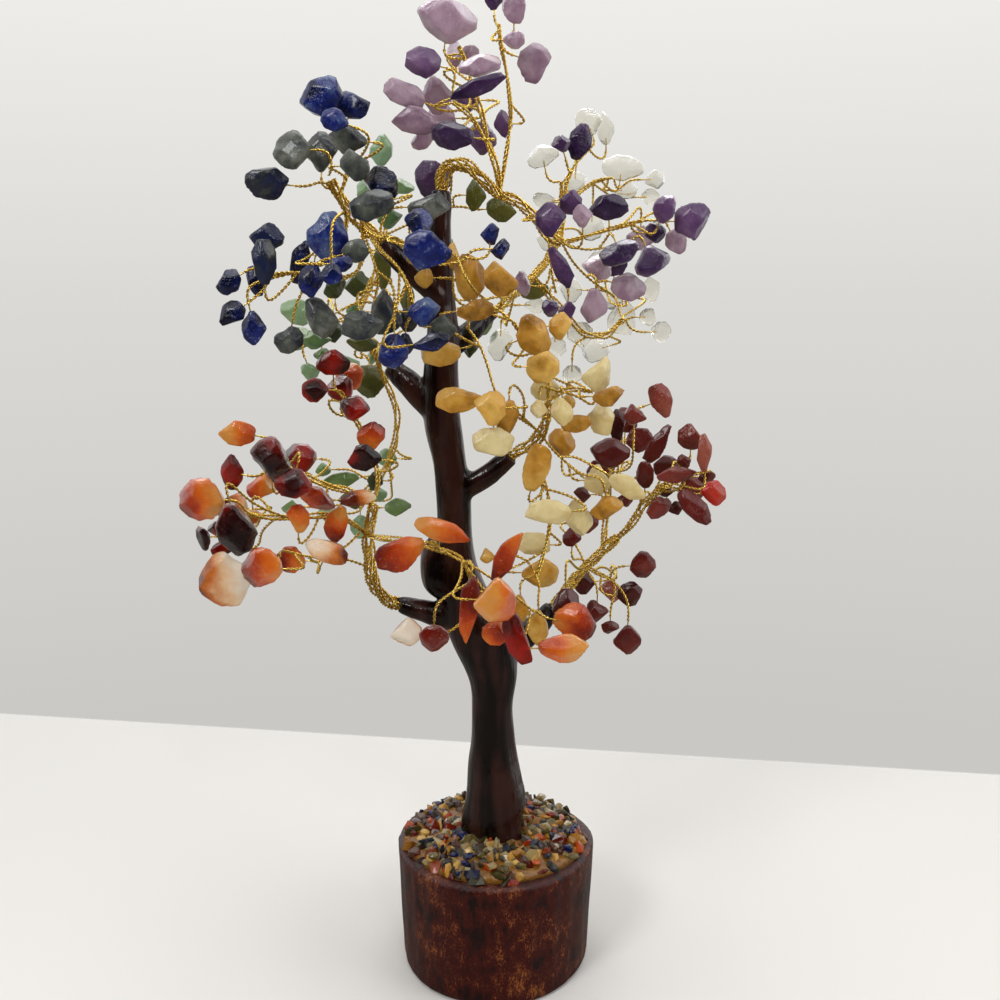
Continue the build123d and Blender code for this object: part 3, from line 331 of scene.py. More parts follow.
GLUE_ROUGHNESS = 0.12
GLUE_SHINE = 0.5
GLUE_BUMP = (0.5, 0.0008)
STONE_SHIFT_BACK = 3.7
STONE_SHIFT_UP = 7.9
STONE_CLOUD_SCALE = 210.0
STONE_GRAIN_SCALE = 1300.0
STONE_SPECKLED = (0.56, 0.7)
STONE_WEAR = 0.14
STONE_COAT_ROUGHNESS = 0.03
STONE_GLOW_REACH = (1.0, 0.6, 0.4)
STONE_GLOW_DEPTH = 0.0015
STONE_PIT_DEPTH = 0.0005


def gold_finish():
    finish = new_finish("gold_wire")
    worn = finish.clouds(finish.place(), GOLD_WEAR_SCALE)
    return finish.surface({
        "Base Color": finish.mixed(worn, linear(GOLD_DEEP), linear(GOLD_LIGHT)),
        "Metallic": 1.0,
        "Roughness": finish.between(worn, *GOLD_ROUGHNESS),
    })


def trunk_finish():
    finish = new_finish("trunk_lacquer")
    place = finish.place()
    streak = finish.clouds(finish.stretched(place, TRUNK_STREAK_STRETCH), TRUNK_STREAK_SCALE)
    patch = finish.clouds(place, TRUNK_PATCH_SCALE)
    run = finish.clouds(finish.stretched(place, TRUNK_RUN_AND_SHEEN_STRETCH), TRUNK_RUN_AND_SHEEN_SCALE, detail=2.0)
    # Vertical bands of lighter brown over near-black: painted reflection streaks of the wet lacquer, mixed
    # with its own uneven brown
    run_and_sheen_share = finish.mask(run * 0.7 + patch * 0.3, *TRUNK_RUN_AND_SHEEN_BAND)
    return finish.surface({
        "Base Color": finish.mixed(run_and_sheen_share, linear(TRUNK_DARK), linear(TRUNK_BROWN)),
        "Roughness": finish.between(patch, *TRUNK_ROUGHNESS),
        "Specular IOR Level": TRUNK_SHINE,
        "Normal": finish.bump(streak + patch, *TRUNK_BUMP),
    })


def bark_finish():
    finish = new_finish("lacquered_bark")
    place = finish.place()
    upright = finish.stretched(place, BARK_STRETCH)
    patch = finish.clouds(place, BARK_PATCH_SCALE, detail=2.0)
    blotch = finish.clouds(upright, BARK_BLOTCH_SCALE, roughness=0.6)
    fleck = finish.clouds(upright, BARK_FLECK_SCALE, roughness=0.7)
    spread = patch * 0.4 + blotch * 0.4 + fleck * 0.5
    dark = finish.mask(patch * 0.5 + blotch * 0.5, *BARK_DARKENED)
    red = finish.mixed(dark, linear(BARK_RED), linear(BARK_DARK))
    tanned = finish.mixed(finish.mask(spread, *BARK_TANNED), red, linear(BARK_TAN))
    return finish.surface({
        "Base Color": finish.mixed(finish.mask(spread, *BARK_FLECKED), tanned, linear(BARK_FLECK)),
        "Roughness": finish.between(fleck, *BARK_ROUGHNESS),
        "Specular IOR Level": BARK_SHINE,
        "Normal": finish.bump(blotch + fleck * 0.6, *BARK_BUMP),
    })


def glue_finish():
    finish = new_finish("amber_glue")
    speckle = finish.clouds(finish.place(), GLUE_SPECKLE_SCALE)
    return finish.surface({
        "Base Color": finish.mixed(speckle, linear(GLUE_DARK), linear(GLUE_AMBER)),
        "Roughness": GLUE_ROUGHNESS,
        "Specular IOR Level": GLUE_SHINE,
        "Normal": finish.bump(speckle, *GLUE_BUMP),
    })


def stone_finish(name, colours, fleck, mottle=0.5, banding=0.1, gloss=0.07, clear=0.0, glow=0.0, pits=0.35,
                 flecked=0.3, shine=0.3, coat=0.25, ior=1.54):
    """A tumbled stone: its colours run along a ramp that each stone enters at its own place."""
    finish = new_finish(name)
    shift = finish.attribute("stone_shift")
    own = finish.node("ShaderNodeCombineXYZ", {}, {
        "X": shift, "Y": shift * STONE_SHIFT_BACK, "Z": shift * STONE_SHIFT_UP})
    place = finish.node("ShaderNodeVectorMath", {"operation": "ADD"}, {0: finish.place(), 1: own})
    cloud = finish.clouds(place, STONE_CLOUD_SCALE, detail=4.0)
    grain = finish.clouds(place, STONE_GRAIN_SCALE, roughness=0.7)
    tone = finish.attribute("stone_pick") + finish.attribute("stone_along") * banding + (cloud - 0.5) * mottle
    body = finish.ramp(tone, [(at / (len(colours) - 1), colour) for at, colour in enumerate(colours)])
    specks = finish.mask(grain * 0.7 + cloud * 0.3, *STONE_SPECKLED)
    return finish.surface({
        "Base Color": finish.mixed(specks * flecked, body, linear(fleck)),
        "Roughness": grain * STONE_WEAR + gloss,
        "Specular IOR Level": shine,
        "Coat Weight": coat,
        "Coat Roughness": STONE_COAT_ROUGHNESS,
        "Transmission Weight": clear,
        "IOR": ior,
        "Subsurface Weight": glow,
        "Subsurface Radius": STONE_GLOW_REACH,
        "Subsurface Scale": STONE_GLOW_DEPTH,
        "Normal": finish.bump(grain + cloud * 2.0, pits, STONE_PIT_DEPTH),
    })


STONE_LOOKS = {
    "amethyst_pale": dict(
        colours=["#8d6c82", "#bda1b1", "#a17f96", "#d6c4cd"], fleck="#e2d6dc",
        mottle=1.0, clear=0.35, glow=0.25),
    "amethyst_deep": dict(
        colours=["#2a1838", "#452b53", "#64446e", "#86668a"], fleck="#9c80a2",
        mottle=1.0, clear=0.25, glow=0.1),
    "lapis_blue": dict(
        colours=["#080a19", "#0d1338", "#142064", "#43557c"], fleck="#8a92a2", mottle=1.9, flecked=0.55),
    "lapis_grey": dict(
        colours=["#1b2140", "#23272e", "#4f524a", "#7c7e76"], fleck="#1d2648", mottle=1.7),
    "green_green": dict(
        colours=["#3f6044", "#6f8a4f", "#8aa884", "#557f5a"], fleck="#b3c8a8", clear=0.1, glow=0.15),
    "green_olive": dict(
        colours=["#28301f", "#434a24", "#5f5e28", "#6c7444"], fleck="#8a966c"),
    "yellow_golden": dict(
        colours=["#7c5316", "#b8832c", "#d2a650", "#98691e"], fleck="#e2c47c", glow=0.15, mottle=1.2),
    "yellow_pale": dict(
        colours=["#b59a5e", "#d9c893", "#cab276", "#e8deb8"], fleck="#8c6c38", glow=0.2, mottle=0.9),
    "carnelian_cream": dict(
        colours=["#5a1c0c", "#c06a2a", "#dcb48a", "#e6d8c4"], fleck="#ecdcc6",
        mottle=0.8, banding=0.55, glow=0.15),
    "carnelian_orange": dict(
        colours=["#6e1608", "#b33a0e", "#db6a1c", "#dd9440"], fleck="#ecbc88",
        mottle=0.8, banding=0.5, clear=0.2, glow=0.1),
    "carnelian_red": dict(
        colours=["#160405", "#320807", "#98160a", "#5a1009"], fleck="#9c4a2c",
        mottle=0.8, banding=0.4, clear=0.15),
    "jasper_brick": dict(
        colours=["#4a1614", "#602019", "#7a332a", "#92503f", "#b3190c"], fleck="#a06a5c"),
    "jasper_dark": dict(
        colours=["#330f0d", "#481512", "#5a1b17", "#6c241f"], fleck="#7c3a32"),
    "quartz_clear": dict(
        colours=["#dcd9ce", "#efede4", "#e6e3d8", "#f4f2ec"], fleck="#fbfaf4",
        clear=0.95, gloss=0.02, pits=0.4, shine=0.5, coat=0.0, ior=1.22),
}
GRAVEL_LOOKS = {
    "lapis": dict(colours=["#07080f", "#0e1650", "#14182a", "#26282c"], fleck="#484e5e", mottle=0.8),
    "yellow": dict(colours=["#6e3e0a", "#b07a24", "#cca658", "#8a5412"], fleck="#d8c080"),
    "carnelian": dict(colours=["#360c04", "#861f06", "#bc4c0e", "#4a1206"], fleck="#b87038", clear=0.1),
    "green": dict(colours=["#1c1a0a", "#383214", "#645628", "#2a220e"], fleck="#807848"),
    "quartz": dict(colours=["#7a5c2c", "#b09860", "#90723c", "#d4c598"], fleck="#e8dfc4", clear=0.2),
    "amethyst": dict(colours=["#140907", "#361a10", "#5e4032", "#1e0d08"], fleck="#80624e", clear=0.1),
}
GRAVEL_SHINE = 0.2
GRAVEL_COAT = 0.3


# Reading the CAD meshes

SAME_POINT = 1e-7
SMALLEST_AREA = 1e-18
CAP_FLATNESS = 1e-3
CAP_FACING = 0.999
CAP_LEVEL = 1e-5


def merged_mesh(node):
    """A CAD node's points without doubles, its triangles, and the normals at each triangle's corners."""
    mesh = nodes[node].data
    mesh.calc_loop_triangles()
    points = np.empty(len(mesh.vertices) * 3)
    mesh.vertices.foreach_get("co", points)
    corners = np.empty(len(mesh.loop_triangles) * 3, dtype=np.int64)
    mesh.loop_triangles.foreach_get("vertices", corners)
    loops = np.empty(len(mesh.loop_triangles) * 3, dtype=np.int64)
    mesh.loop_triangles.foreach_get("loops", loops)
    normals = np.empty(len(mesh.loops) * 3)
    mesh.corner_normals.foreach_get("vector", normals)
    normals = normals.reshape(-1, 3)[loops].reshape(-1, 3, 3)
    points = points.reshape(-1, 3)
    keys = np.round(points / SAME_POINT).astype(np.int64)
    first, index = np.unique(keys, axis=0, return_index=True, return_inverse=True)[1:]
    triangles = index.reshape(-1)[corners].reshape(-1, 3)
    solid = (triangles[:, 0] != triangles[:, 1]) & (triangles[:, 1] != triangles[:, 2])
    solid &= triangles[:, 0] != triangles[:, 2]
    return points[first], triangles[solid], normals[solid]


def edges_of(triangles):
    pairs = np.concatenate([triangles[:, [0, 1]], triangles[:, [1, 2]], triangles[:, [2, 0]]])
    return np.unique(np.sort(pairs, axis=1), axis=0)


def islands_of(count, edges):
    """A number for each point, the same over each connected solid."""
    label = np.arange(count)
    while True:
        low = np.minimum(label[edges[:, 0]], label[edges[:, 1]])
        before = label.copy()
        np.minimum.at(label, edges[:, 0], low)
        np.minimum.at(label, edges[:, 1], low)
        label = label[label]
        if np.array_equal(label, before):
            return np.unique(label, return_inverse=True)[1]


def face_planes(points, triangles):
    """Each triangle's normal, and how far out along it the triangle lies."""
    sides = points[triangles]
    normals = np.cross(sides[:, 1] - sides[:, 0], sides[:, 2] - sides[:, 0])
    sizes = np.linalg.norm(normals, axis=1)
    normals = normals / np.maximum(sizes, SMALLEST_AREA)[:, None]
    return normals, np.einsum("ij,ij->i", normals, sides.mean(axis=1))


def centrelines(node):
    """Middle line and radius of each round wire in a CAD node, followed ring by ring from an end cap."""
    points, triangles, normals = merged_mesh(node)
    edges = edges_of(triangles)
    island = islands_of(len(points), edges)
    spread = np.abs(normals - normals[:, :1]).max(axis=(1, 2))
    caps = np.flatnonzero(spread < CAP_FLATNESS)
    level = np.full(len(points), -1)
    for home in range(island.max() + 1):
        own = caps[island[triangles[caps, 0]] == home]
        way = normals[own[0], 0]
        heights = points[triangles[own]].mean(axis=1) @ way
        same = (normals[own, 0] @ way > CAP_FACING) & (np.abs(heights - heights[0]) < CAP_LEVEL)
        level[np.unique(triangles[own[same]])] = 0
    step = 0
    both_ways = np.concatenate([edges, edges[:, ::-1]])
    while True:
        front = both_ways[level[both_ways[:, 0]] == step, 1]
        front = front[level[front] < 0]
        if len(front) == 0:
            break
        step += 1
        level[front] = step
    lines = []
    for home in range(island.max() + 1):
        own = np.flatnonzero(island == home)
        rings = level[own]
        sums = np.zeros((rings.max() + 1, 3))
        np.add.at(sums, rings, points[own])
        middles = sums / np.bincount(rings)[:, None]
        radius = np.linalg.norm(points[own[rings == 0]] - middles[0], axis=1).max()
        lines.append((middles, radius))
    return lines


# Twisted wire

WIRE_RADIUS = 0.22 * MM
PAIR_RADIUS = 2 * WIRE_RADIUS
PAIR_PITCH = 2.5 * MM
PAIR_STEP = 0.27 * MM
LOOP_STEP = 0.4 * MM
WIRE_SIDES = 5
BUNDLE_PITCH = 32.0 * MM
BUNDLE_STEP = 0.8 * MM
BUNDLE_FILL = 0.76
BUNDLE_UNEVEN = 0.2
BUNDLE_SWAY = 0.45
BUNDLE_SWAY_RUN = 3.1 * MM
BUNDLE_WEAVE = 0.25
BUNDLE_WEAVE_RUN = 4 * MM
BUNDLE_LEAST_RING = 0.5 * PAIR_RADIUS
LOOSE_SHARE = (0.3, 1.0)
LIMB_LOOSENESS = 1.3
STEM_LOOSENESS = 0.3
STEM_NEAR = 0.5 * MM
EASE_STEP = 0.5 * MM
EASE_TURNS = 12
ROOT_INSET = 0.5 * MM


def geometry_node(tree, kind, settings, sockets):
    made = tree.nodes.new(kind)
    for name, value in settings.items():
        setattr(made, name, value)
    for key, value in sockets.items():
        if isinstance(value, bpy.types.NodeSocket):
            tree.links.new(value, made.inputs[key])
        else:
            made.inputs[key].default_value = value
    return made


def twisted_wire_tree():
    """Geometry nodes that lay a number of round wires along each line, turned about it."""
    tree = bpy.data.node_groups.new("twisted_wire", "GeometryNodeTree")
    wanted = [
        ("Geometry", "NodeSocketGeometry"), ("Wire Radius", "NodeSocketFloat"), ("Wires", "NodeSocketInt"),
        ("Pitch", "NodeSocketFloat"), ("Step", "NodeSocketFloat"), ("Sides", "NodeSocketInt"),
        ("Material", "NodeSocketMaterial"),
    ]
    for name, kind in wanted:
        tree.interface.new_socket(name, in_out="INPUT", socket_type=kind)
    tree.interface.new_socket("Geometry", in_out="OUTPUT", socket_type="NodeSocketGeometry")
    inputs = tree.nodes.new("NodeGroupInput").outputs

    def maths(operation, first, second):
        made = geometry_node(tree, "ShaderNodeMath", {"operation": operation}, {0: first, 1: second})
        return made.outputs[0]

    curve = geometry_node(tree, "GeometryNodeMeshToCurve", {}, {"Mesh": inputs["Geometry"]})
    even = geometry_node(tree, "GeometryNodeResampleCurve", {"mode": "LENGTH"}, {
        "Curve": curve.outputs["Curve"], "Length": inputs["Step"]})
    run = tree.nodes.new("GeometryNodeSplineParameter").outputs["Length"]
    turn = maths("MULTIPLY", maths("DIVIDE", run, inputs["Pitch"]), 2 * math.pi)
    turned = geometry_node(tree, "GeometryNodeSetCurveTilt", {}, {
        "Curve": even.outputs["Curve"], "Tilt": turn})
    number = tree.nodes.new("GeometryNodeInputIndex").outputs["Index"]
    middle = maths("DIVIDE", maths("SUBTRACT", inputs["Wires"], 1), 2)
    width = maths("MULTIPLY", inputs["Wire Radius"], 2)
    sideways = maths("MULTIPLY", maths("SUBTRACT", number, middle), width)
    place = geometry_node(tree, "ShaderNodeCombineXYZ", {}, {"X": sideways}).outputs["Vector"]
    spots = geometry_node(tree, "GeometryNodePoints", {}, {"Count": inputs["Wires"], "Position": place})
    ring = geometry_node(tree, "GeometryNodeCurvePrimitiveCircle", {}, {
        "Resolution": inputs["Sides"], "Radius": inputs["Wire Radius"]})
    rings = geometry_node(tree, "GeometryNodeInstanceOnPoints", {}, {
        "Points": spots.outputs[0], "Instance": ring.outputs["Curve"]})
    profile = geometry_node(tree, "GeometryNodeRealizeInstances", {}, {
        "Geometry": rings.outputs["Instances"]})
    wire = geometry_node(tree, "GeometryNodeCurveToMesh", {}, {
        "Curve": turned.outputs["Curve"], "Profile Curve": profile.outputs["Geometry"], "Fill Caps": True})
    smooth = geometry_node(tree, "GeometryNodeSetShadeSmooth", {}, {"Geometry": wire.outputs["Mesh"]})
    real = geometry_node(tree, "GeometryNodeRealizeInstances", {}, {"Geometry": smooth.outputs["Geometry"]})
    gilt = geometry_node(tree, "GeometryNodeSetMaterial", {}, {
        "Geometry": real.outputs["Geometry"], "Material": inputs["Material"]})
    output = tree.nodes.new("NodeGroupOutput")
    tree.links.new(gilt.outputs["Geometry"], output.inputs["Geometry"])
    return tree


def line_mesh(name, lines):
    points = np.concatenate(lines)
    edges = []
    start = 0
    for line in lines:
        edges.extend((start + at, start + at + 1) for at in range(len(line) - 1))
        start += len(line)
    mesh = bpy.data.meshes.new(name)
    mesh.from_pydata(points.tolist(), edges, [])
    return mesh


def shown_object(name, mesh):
    piece = bpy.data.objects.new(name, mesh)
    bpy.context.scene.collection.objects.link(piece)
    return piece


def grown(name, mesh, tree, values):
    """A plain mesh object from a geometry nodes tree run on a mesh."""
    source = shown_object(name + "_lines", mesh)
    modifier = source.modifiers.new("nodes", "NODES")
    modifier.node_group = tree
    for item in tree.interface.items_tree:
        if item.in_out == "INPUT" and item.name in values:
            modifier[item.identifier] = values[item.name]
    source.update_tag()
    graph = bpy.context.evaluated_depsgraph_get()
    made = bpy.data.meshes.new_from_object(source.evaluated_get(graph))
    made.name = name
    bpy.data.objects.remove(source)
    return shown_object(name, made)


def spaced_line(line, step):
    """The same line with points a step apart, and how far along it each lies."""
    runs = np.linalg.norm(np.diff(line, axis=0), axis=1)
    line = line[np.concatenate([[True], runs > SAME_POINT])]
    reach = np.concatenate([[0.0], np.cumsum(np.linalg.norm(np.diff(line, axis=0), axis=1))])
    count = max(3, int(reach[-1] / step) + 1)
    at = np.linspace(0.0, reach[-1], count)
    return np.column_stack([np.interp(at, reach, line[:, axis]) for axis in range(3)]), at


def eased(line):
    """The line with its corners rounded and its ends kept."""
    line = spaced_line(line, EASE_STEP)[0]
    for _ in range(EASE_TURNS):
        line[1:-1] = line[1:-1] * 0.5 + (line[:-2] + line[2:]) * 0.25
    return line


def carried_frames(line):
    """Two directions square to the line at each point, turned as little as can be from one to the next."""
    ways = np.gradient(line, axis=0)
    ways /= np.linalg.norm(ways, axis=1)[:, None]
    start = np.array([1.0, 0.0, 0.0]) if abs(ways[0, 0]) < 0.8 else np.array([0.0, 1.0, 0.0])
    side = np.cross(ways[0], start)
    sides = []
    for way in ways:
        side = side - way * (side @ way)
        side = side / np.linalg.norm(side)
        sides.append(side)
    sides = np.array(sides)
    return sides, np.cross(ways, sides)


def bundle_lines(line, radius, looseness, draw):
    """Lines of the twisted pairs that lie round a limb's middle."""
    line = eased(line)
    ring = radius - PAIR_RADIUS
    if ring < BUNDLE_LEAST_RING:
        return [line]
    count = max(2, round(BUNDLE_FILL * math.pi * ring / PAIR_RADIUS))
    places, run = spaced_line(line, BUNDLE_STEP)
    sides, others = carried_frames(places)
    lines = []
    for number in range(count):
        start = 2 * math.pi * number / count + draw.uniform(-BUNDLE_UNEVEN, BUNDLE_UNEVEN)
        wave = draw.uniform(0, 2 * math.pi)
        weave = BUNDLE_WEAVE * np.sin(run / BUNDLE_WEAVE_RUN + wave)
        turn = start + 2 * math.pi * run / BUNDLE_PITCH + weave
        out = ring * (1 - BUNDLE_SWAY * (0.5 + 0.5 * np.sin(run / BUNDLE_SWAY_RUN + 2 * wave)))
        out = out * (1 + draw.uniform(*LOOSE_SHARE) * looseness * np.sin(math.pi * run / run[-1]))
        offset = sides * (np.cos(turn) * out)[:, None] + others * (np.sin(turn) * out)[:, None]
        lines.append(places + offset)
    return lines


def mouth_of(branch):
    """The point where a branch leaves its stub, the middle of its root, and the way out of the stub."""
    joint = next(joint for joint in frame["joints"] if joint["name"] == f"{branch}_bend")
    pivot = np.array(joint["pos_m"])
    low, high = (np.array(corner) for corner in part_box(f"{branch}_wire_root"))
    root = (low + high) / 2
    return pivot, root, (pivot - root) / np.linalg.norm(pivot - root)


def make_wires(branch, loop_lines, tree, gold):
    """A branch's twisted pairs, its bundled limbs, its chip loops, and the stem that leaves the stub."""
    draw = Random(SEED + BRANCHES.index(branch))
    pivot, root, way = mouth_of(branch)
    stem = None
    lines = []
    for line, radius in centrelines(f"{branch}_wires"):
        near = np.linalg.norm(line - pivot, axis=1).min()
        if stem is None and near < STEM_NEAR:
            stem = (line, radius)
        else:
            lines.extend(bundle_lines(line, radius, LIMB_LOOSENESS, draw))
    pair = {"Wire Radius": WIRE_RADIUS, "Wires": 2, "Pitch": PAIR_PITCH, "Step": PAIR_STEP,
            "Sides": WIRE_SIDES, "Material": gold}
    twigs = grown(f"{branch}_twisted_twigs", line_mesh(branch, lines), tree, pair)
    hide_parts(f"{branch}_wires")
    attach(twigs, f"{branch}_branch")

    line, radius = stem
    clear = np.linalg.norm(line - pivot, axis=1) > radius
    line = line[clear]
    if np.linalg.norm(line[0] - pivot) < np.linalg.norm(line[-1] - pivot):
        line = line[::-1]
    line = np.concatenate([line, [pivot, root - way * ROOT_INSET]])[::-1]
    stem_lines = bundle_lines(line, radius, STEM_LOOSENESS, draw)
    rope = grown(f"{branch}_stem_rope", line_mesh(branch, stem_lines), tree, pair)
    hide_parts(f"{branch}_wire_root")
    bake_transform(rope)

    single = dict(pair, Wires=1, Step=LOOP_STEP)
    loops = grown(f"{branch}_chip_loops", line_mesh(branch, loop_lines), tree, single)
    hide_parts(f"{branch}_loops")
    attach(loops, f"{branch}_branch")


# Tumbled stones

CHIP_FINENESS = 4
GRAVEL_FINENESS = 2
CHIP_ROUNDING = 80
GRAVEL_ROUNDING = 40
BREAKS = 5
BREAK_DEPTHS = (0.32, 0.8)
LUMP_SCALE = 0.9
DENT_SCALE = 2.6
DENT_SHIFT = 1.7
STONE_ROUGHNESS = 0.12
NOISE_RANGE = 50
LEAST_HEIGHT = 1e-5
SAME_SIDE = 2e-6
NORMAL_STEPS = 200
OFFSET_STEPS = 1e6
TONE_RANGE = (0.08, 0.76)
# Stones with a tone of their own: millimetres across and up, and the place on their colours' ramp
KNOWN_TONES = {
    "carnelian_cream": [(-72, 121, 0.62), (-24, 108, 0.7), (-44, 129, 0.4)],
    "carnelian_orange": [
        (-77, 143, 0.6), (-68, 160, 0.85), (-60, 126, 0.35), (-42, 136, 0.5), (-24, 130, 0.4),
        (-13, 137, 0.78), (0, 121, 0.9), (18, 105, 0.85), (21, 110, 0.4), (3, 130, 0.35)],
    "carnelian_red": [
        (-67, 136, 0.05), (-58, 154, 0.08), (-69, 150, 0.72), (-47, 171, 0.64), (-43, 178, 0.66),
        (-42, 171, 0.7), (-36, 167, 0.62), (-34, 155, 0.15), (6, 110, 0.75)],
    "jasper_brick": [(62, 140, 1.0)],
    "amethyst_deep": [(30, 219, 0.1), (33, 207, 0.12)],
}
SURFACE_INSET = 0.985
HOLE_DEPTH = 0.4 * MM
HOLE_EDGE = 0.5 * MM
NO_WIRE = np.empty((0, 3))


def ball_of(fineness):
    """Points and triangles of a unit ball of even triangles."""
    shape = bmesh.new()
    bmesh.ops.create_icosphere(shape, subdivisions=fineness, radius=1.0)
    points = np.array([v.co for v in shape.verts])
    triangles = np.array([[v.index for v in face.verts] for face in shape.faces])
    shape.free()
    return points, triangles


def noise_over(places, scale, shift):
    return np.array([noise.noise(Vector(place * scale + shift)) for place in places])


def tumbled(points, planes, threaded, ball, rounding, draw):
    """Points of a broken stone with worn edges inside its flat sides, and how far along it each lies."""
    sides, offsets = planes
    middle = (points.max(axis=0) + points.min(axis=0)) / 2
    spread = np.linalg.svd(points - points.mean(axis=0), full_matrices=False)[2]
    half = np.abs((points - middle) @ spread.T).max(axis=0)
    ways = (ball * half) @ spread
    ways = ways / np.linalg.norm(ways, axis=1)[:, None]
    heights = np.maximum(offsets - sides @ middle, LEAST_HEIGHT)
    breaks = np.array([[draw.gauss(0, 1) for _ in range(3)] for _ in range(BREAKS)])
    breaks = breaks / np.linalg.norm(breaks, axis=1)[:, None]
    depths = ((points - middle) @ breaks.T).max(axis=0)
    depths = depths * np.array([draw.uniform(*BREAK_DEPTHS) for _ in range(BREAKS)])
    inside = threaded[(offsets - threaded @ sides.T).min(axis=1) > HOLE_DEPTH]
    if len(inside):
        depths = np.maximum(depths, ((inside - middle) @ breaks.T).max(axis=0) + HOLE_EDGE)
    facing = ways @ np.concatenate([sides, breaks]).T / np.concatenate([heights, depths])
    reach = (np.maximum(facing, 0.0) ** rounding).sum(axis=1) ** (-1.0 / rounding)
    size = half.mean()
    shift = np.array([draw.uniform(-NOISE_RANGE, NOISE_RANGE) for _ in range(3)])
    lumps = noise_over(ways * reach[:, None], LUMP_SCALE / size, shift)
    dents = noise_over(ways * reach[:, None], DENT_SCALE / size, shift * DENT_SHIFT)
    reach = reach * (1.0 + STONE_ROUGHNESS * (lumps + dents * 0.5))
    places = ways * reach[:, None]
    scale = (points.max(axis=0) - points.min(axis=0)) / (places.max(axis=0) - places.min(axis=0))
    places = (places - (places.max(axis=0) + places.min(axis=0)) / 2) * scale
    over = (places @ sides.T / heights).max(axis=1) / SURFACE_INSET
    places = places / np.maximum(over, 1.0)[:, None]
    return places + middle, ball[:, 0]


def stones_of(node):
    """Corner points and outer flat sides of each stone in a CAD node."""
    points, triangles = merged_mesh(node)[:2]
    island = islands_of(len(points), edges_of(triangles))
    normals, offsets = face_planes(points, triangles)
    stones = []
    for home in range(island.max() + 1):
        own = points[island == home]
        faces = island[triangles[:, 0]] == home
        keys = np.round(np.column_stack([normals[faces] * NORMAL_STEPS, offsets[faces] * OFFSET_STEPS]))
        kept = np.unique(keys, axis=0, return_index=True)[1]
        sides, far = normals[faces][kept], offsets[faces][kept]
        outer = (own @ sides.T - far).max(axis=0) < SAME_SIDE
        stones.append((own, (sides[outer], far[outer])))
    return stones


def known_tone(tones, middle):
    """The tone written down for the stone that hangs at this place, if there is one."""
    for across, up, tone in tones:
        if abs(middle[0] - across * MM) < MM and abs(middle[2] - up * MM) < MM:
            return tone
    return None


def make_stones(name, node, body, material, fineness, rounding, tones=(), threaded=NO_WIRE):
    """A CAD node's stones, worn and broken, each with its tone and its pattern's shift on its points."""
    ball, faces = ball_of(fineness)
    draw = Random(name)
    places, triangles, picks, alongs, shifts = [], [], [], [], []
    for points, planes in stones_of(node):
        stone, along = tumbled(points, planes, threaded, ball, rounding, draw)
        triangles.append(faces + len(ball) * len(places))
        places.append(stone)
        tone = draw.uniform(*TONE_RANGE)
        darker_end = draw.choice((-1, 1))
        known = known_tone(tones, (points.max(axis=0) + points.min(axis=0)) / 2)
        if known is not None:
            tone = known
            darker_end = 1 if along[np.argmin(stone[:, 2])] < 0 else -1
        picks.append(np.full(len(ball), tone))
        shifts.append(np.full(len(ball), draw.uniform(0, 1)))
        alongs.append(along * darker_end)
    mesh = bpy.data.meshes.new(name)
    mesh.from_pydata(np.concatenate(places).tolist(), [], np.concatenate(triangles).tolist())
    for label, values in (("stone_pick", picks), ("stone_along", alongs), ("stone_shift", shifts)):
        layer = mesh.attributes.new(label, "FLOAT", "POINT")
        layer.data.foreach_set("value", np.concatenate(values).astype(np.float32))
    mesh.materials.append(material)
    piece = shown_object(name, mesh)
    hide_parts(node)
    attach(piece, body)
    return piece


def make_chips(loops):
    for look, settings in STONE_LOOKS.items():
        branch, tone = look.split("_")
        material = stone_finish(look, **settings)
        piece = make_stones(f"{look}_stones", f"{branch}_chips_{tone}", f"{branch}_branch", material,
                            CHIP_FINENESS, CHIP_ROUNDING, KNOWN_TONES.get(look, ()),
                            np.concatenate(loops[branch]))
        piece.data.shade_smooth()


# Crushed stone round the trunk's foot

CRUMB_RADIUS = 2.3 * MM
CRUMB_DENSITY = 31000.0
CRUMB_SHARES = {"lapis": 0.8, "yellow": 1.2, "carnelian": 1.0, "green": 0.9, "quartz": 1.1, "amethyst": 1.0}
CRUMB_CORNERS = (0.6, 1.1)
CRUMB_STRETCH = np.array([1.25, 1.0, 0.7])
CRUMB_SIZES = (0.4, 1.7)
CRUMB_TURNS = (0.0, 6.28)
CRUMB_TONES = (0.05, 0.95)
TURN_SALT = 100
SIZE_SALT = 200
TONE_SALTS = {"stone_pick": 300, "stone_shift": 400}
HEAP_OVER_BED = 0.3 * MM
HEAP_RISE = 0.8 * MM
HEAP_FALL = 7
HEAP_RINGS = 12
HEAP_SPOKES = 60


def crumb_shape():
    """One angular crumb of stone."""
    points, triangles = ball_of(1)
    draw = Random(SEED)
    sizes = np.array([draw.uniform(*CRUMB_CORNERS) for _ in points])
    points = points * sizes[:, None] * CRUMB_STRETCH * CRUMB_RADIUS
    mesh = bpy.data.meshes.new("crumb")
    mesh.from_pydata(points.tolist(), [], triangles.tolist())
    return bpy.data.objects.new("crumb", mesh)


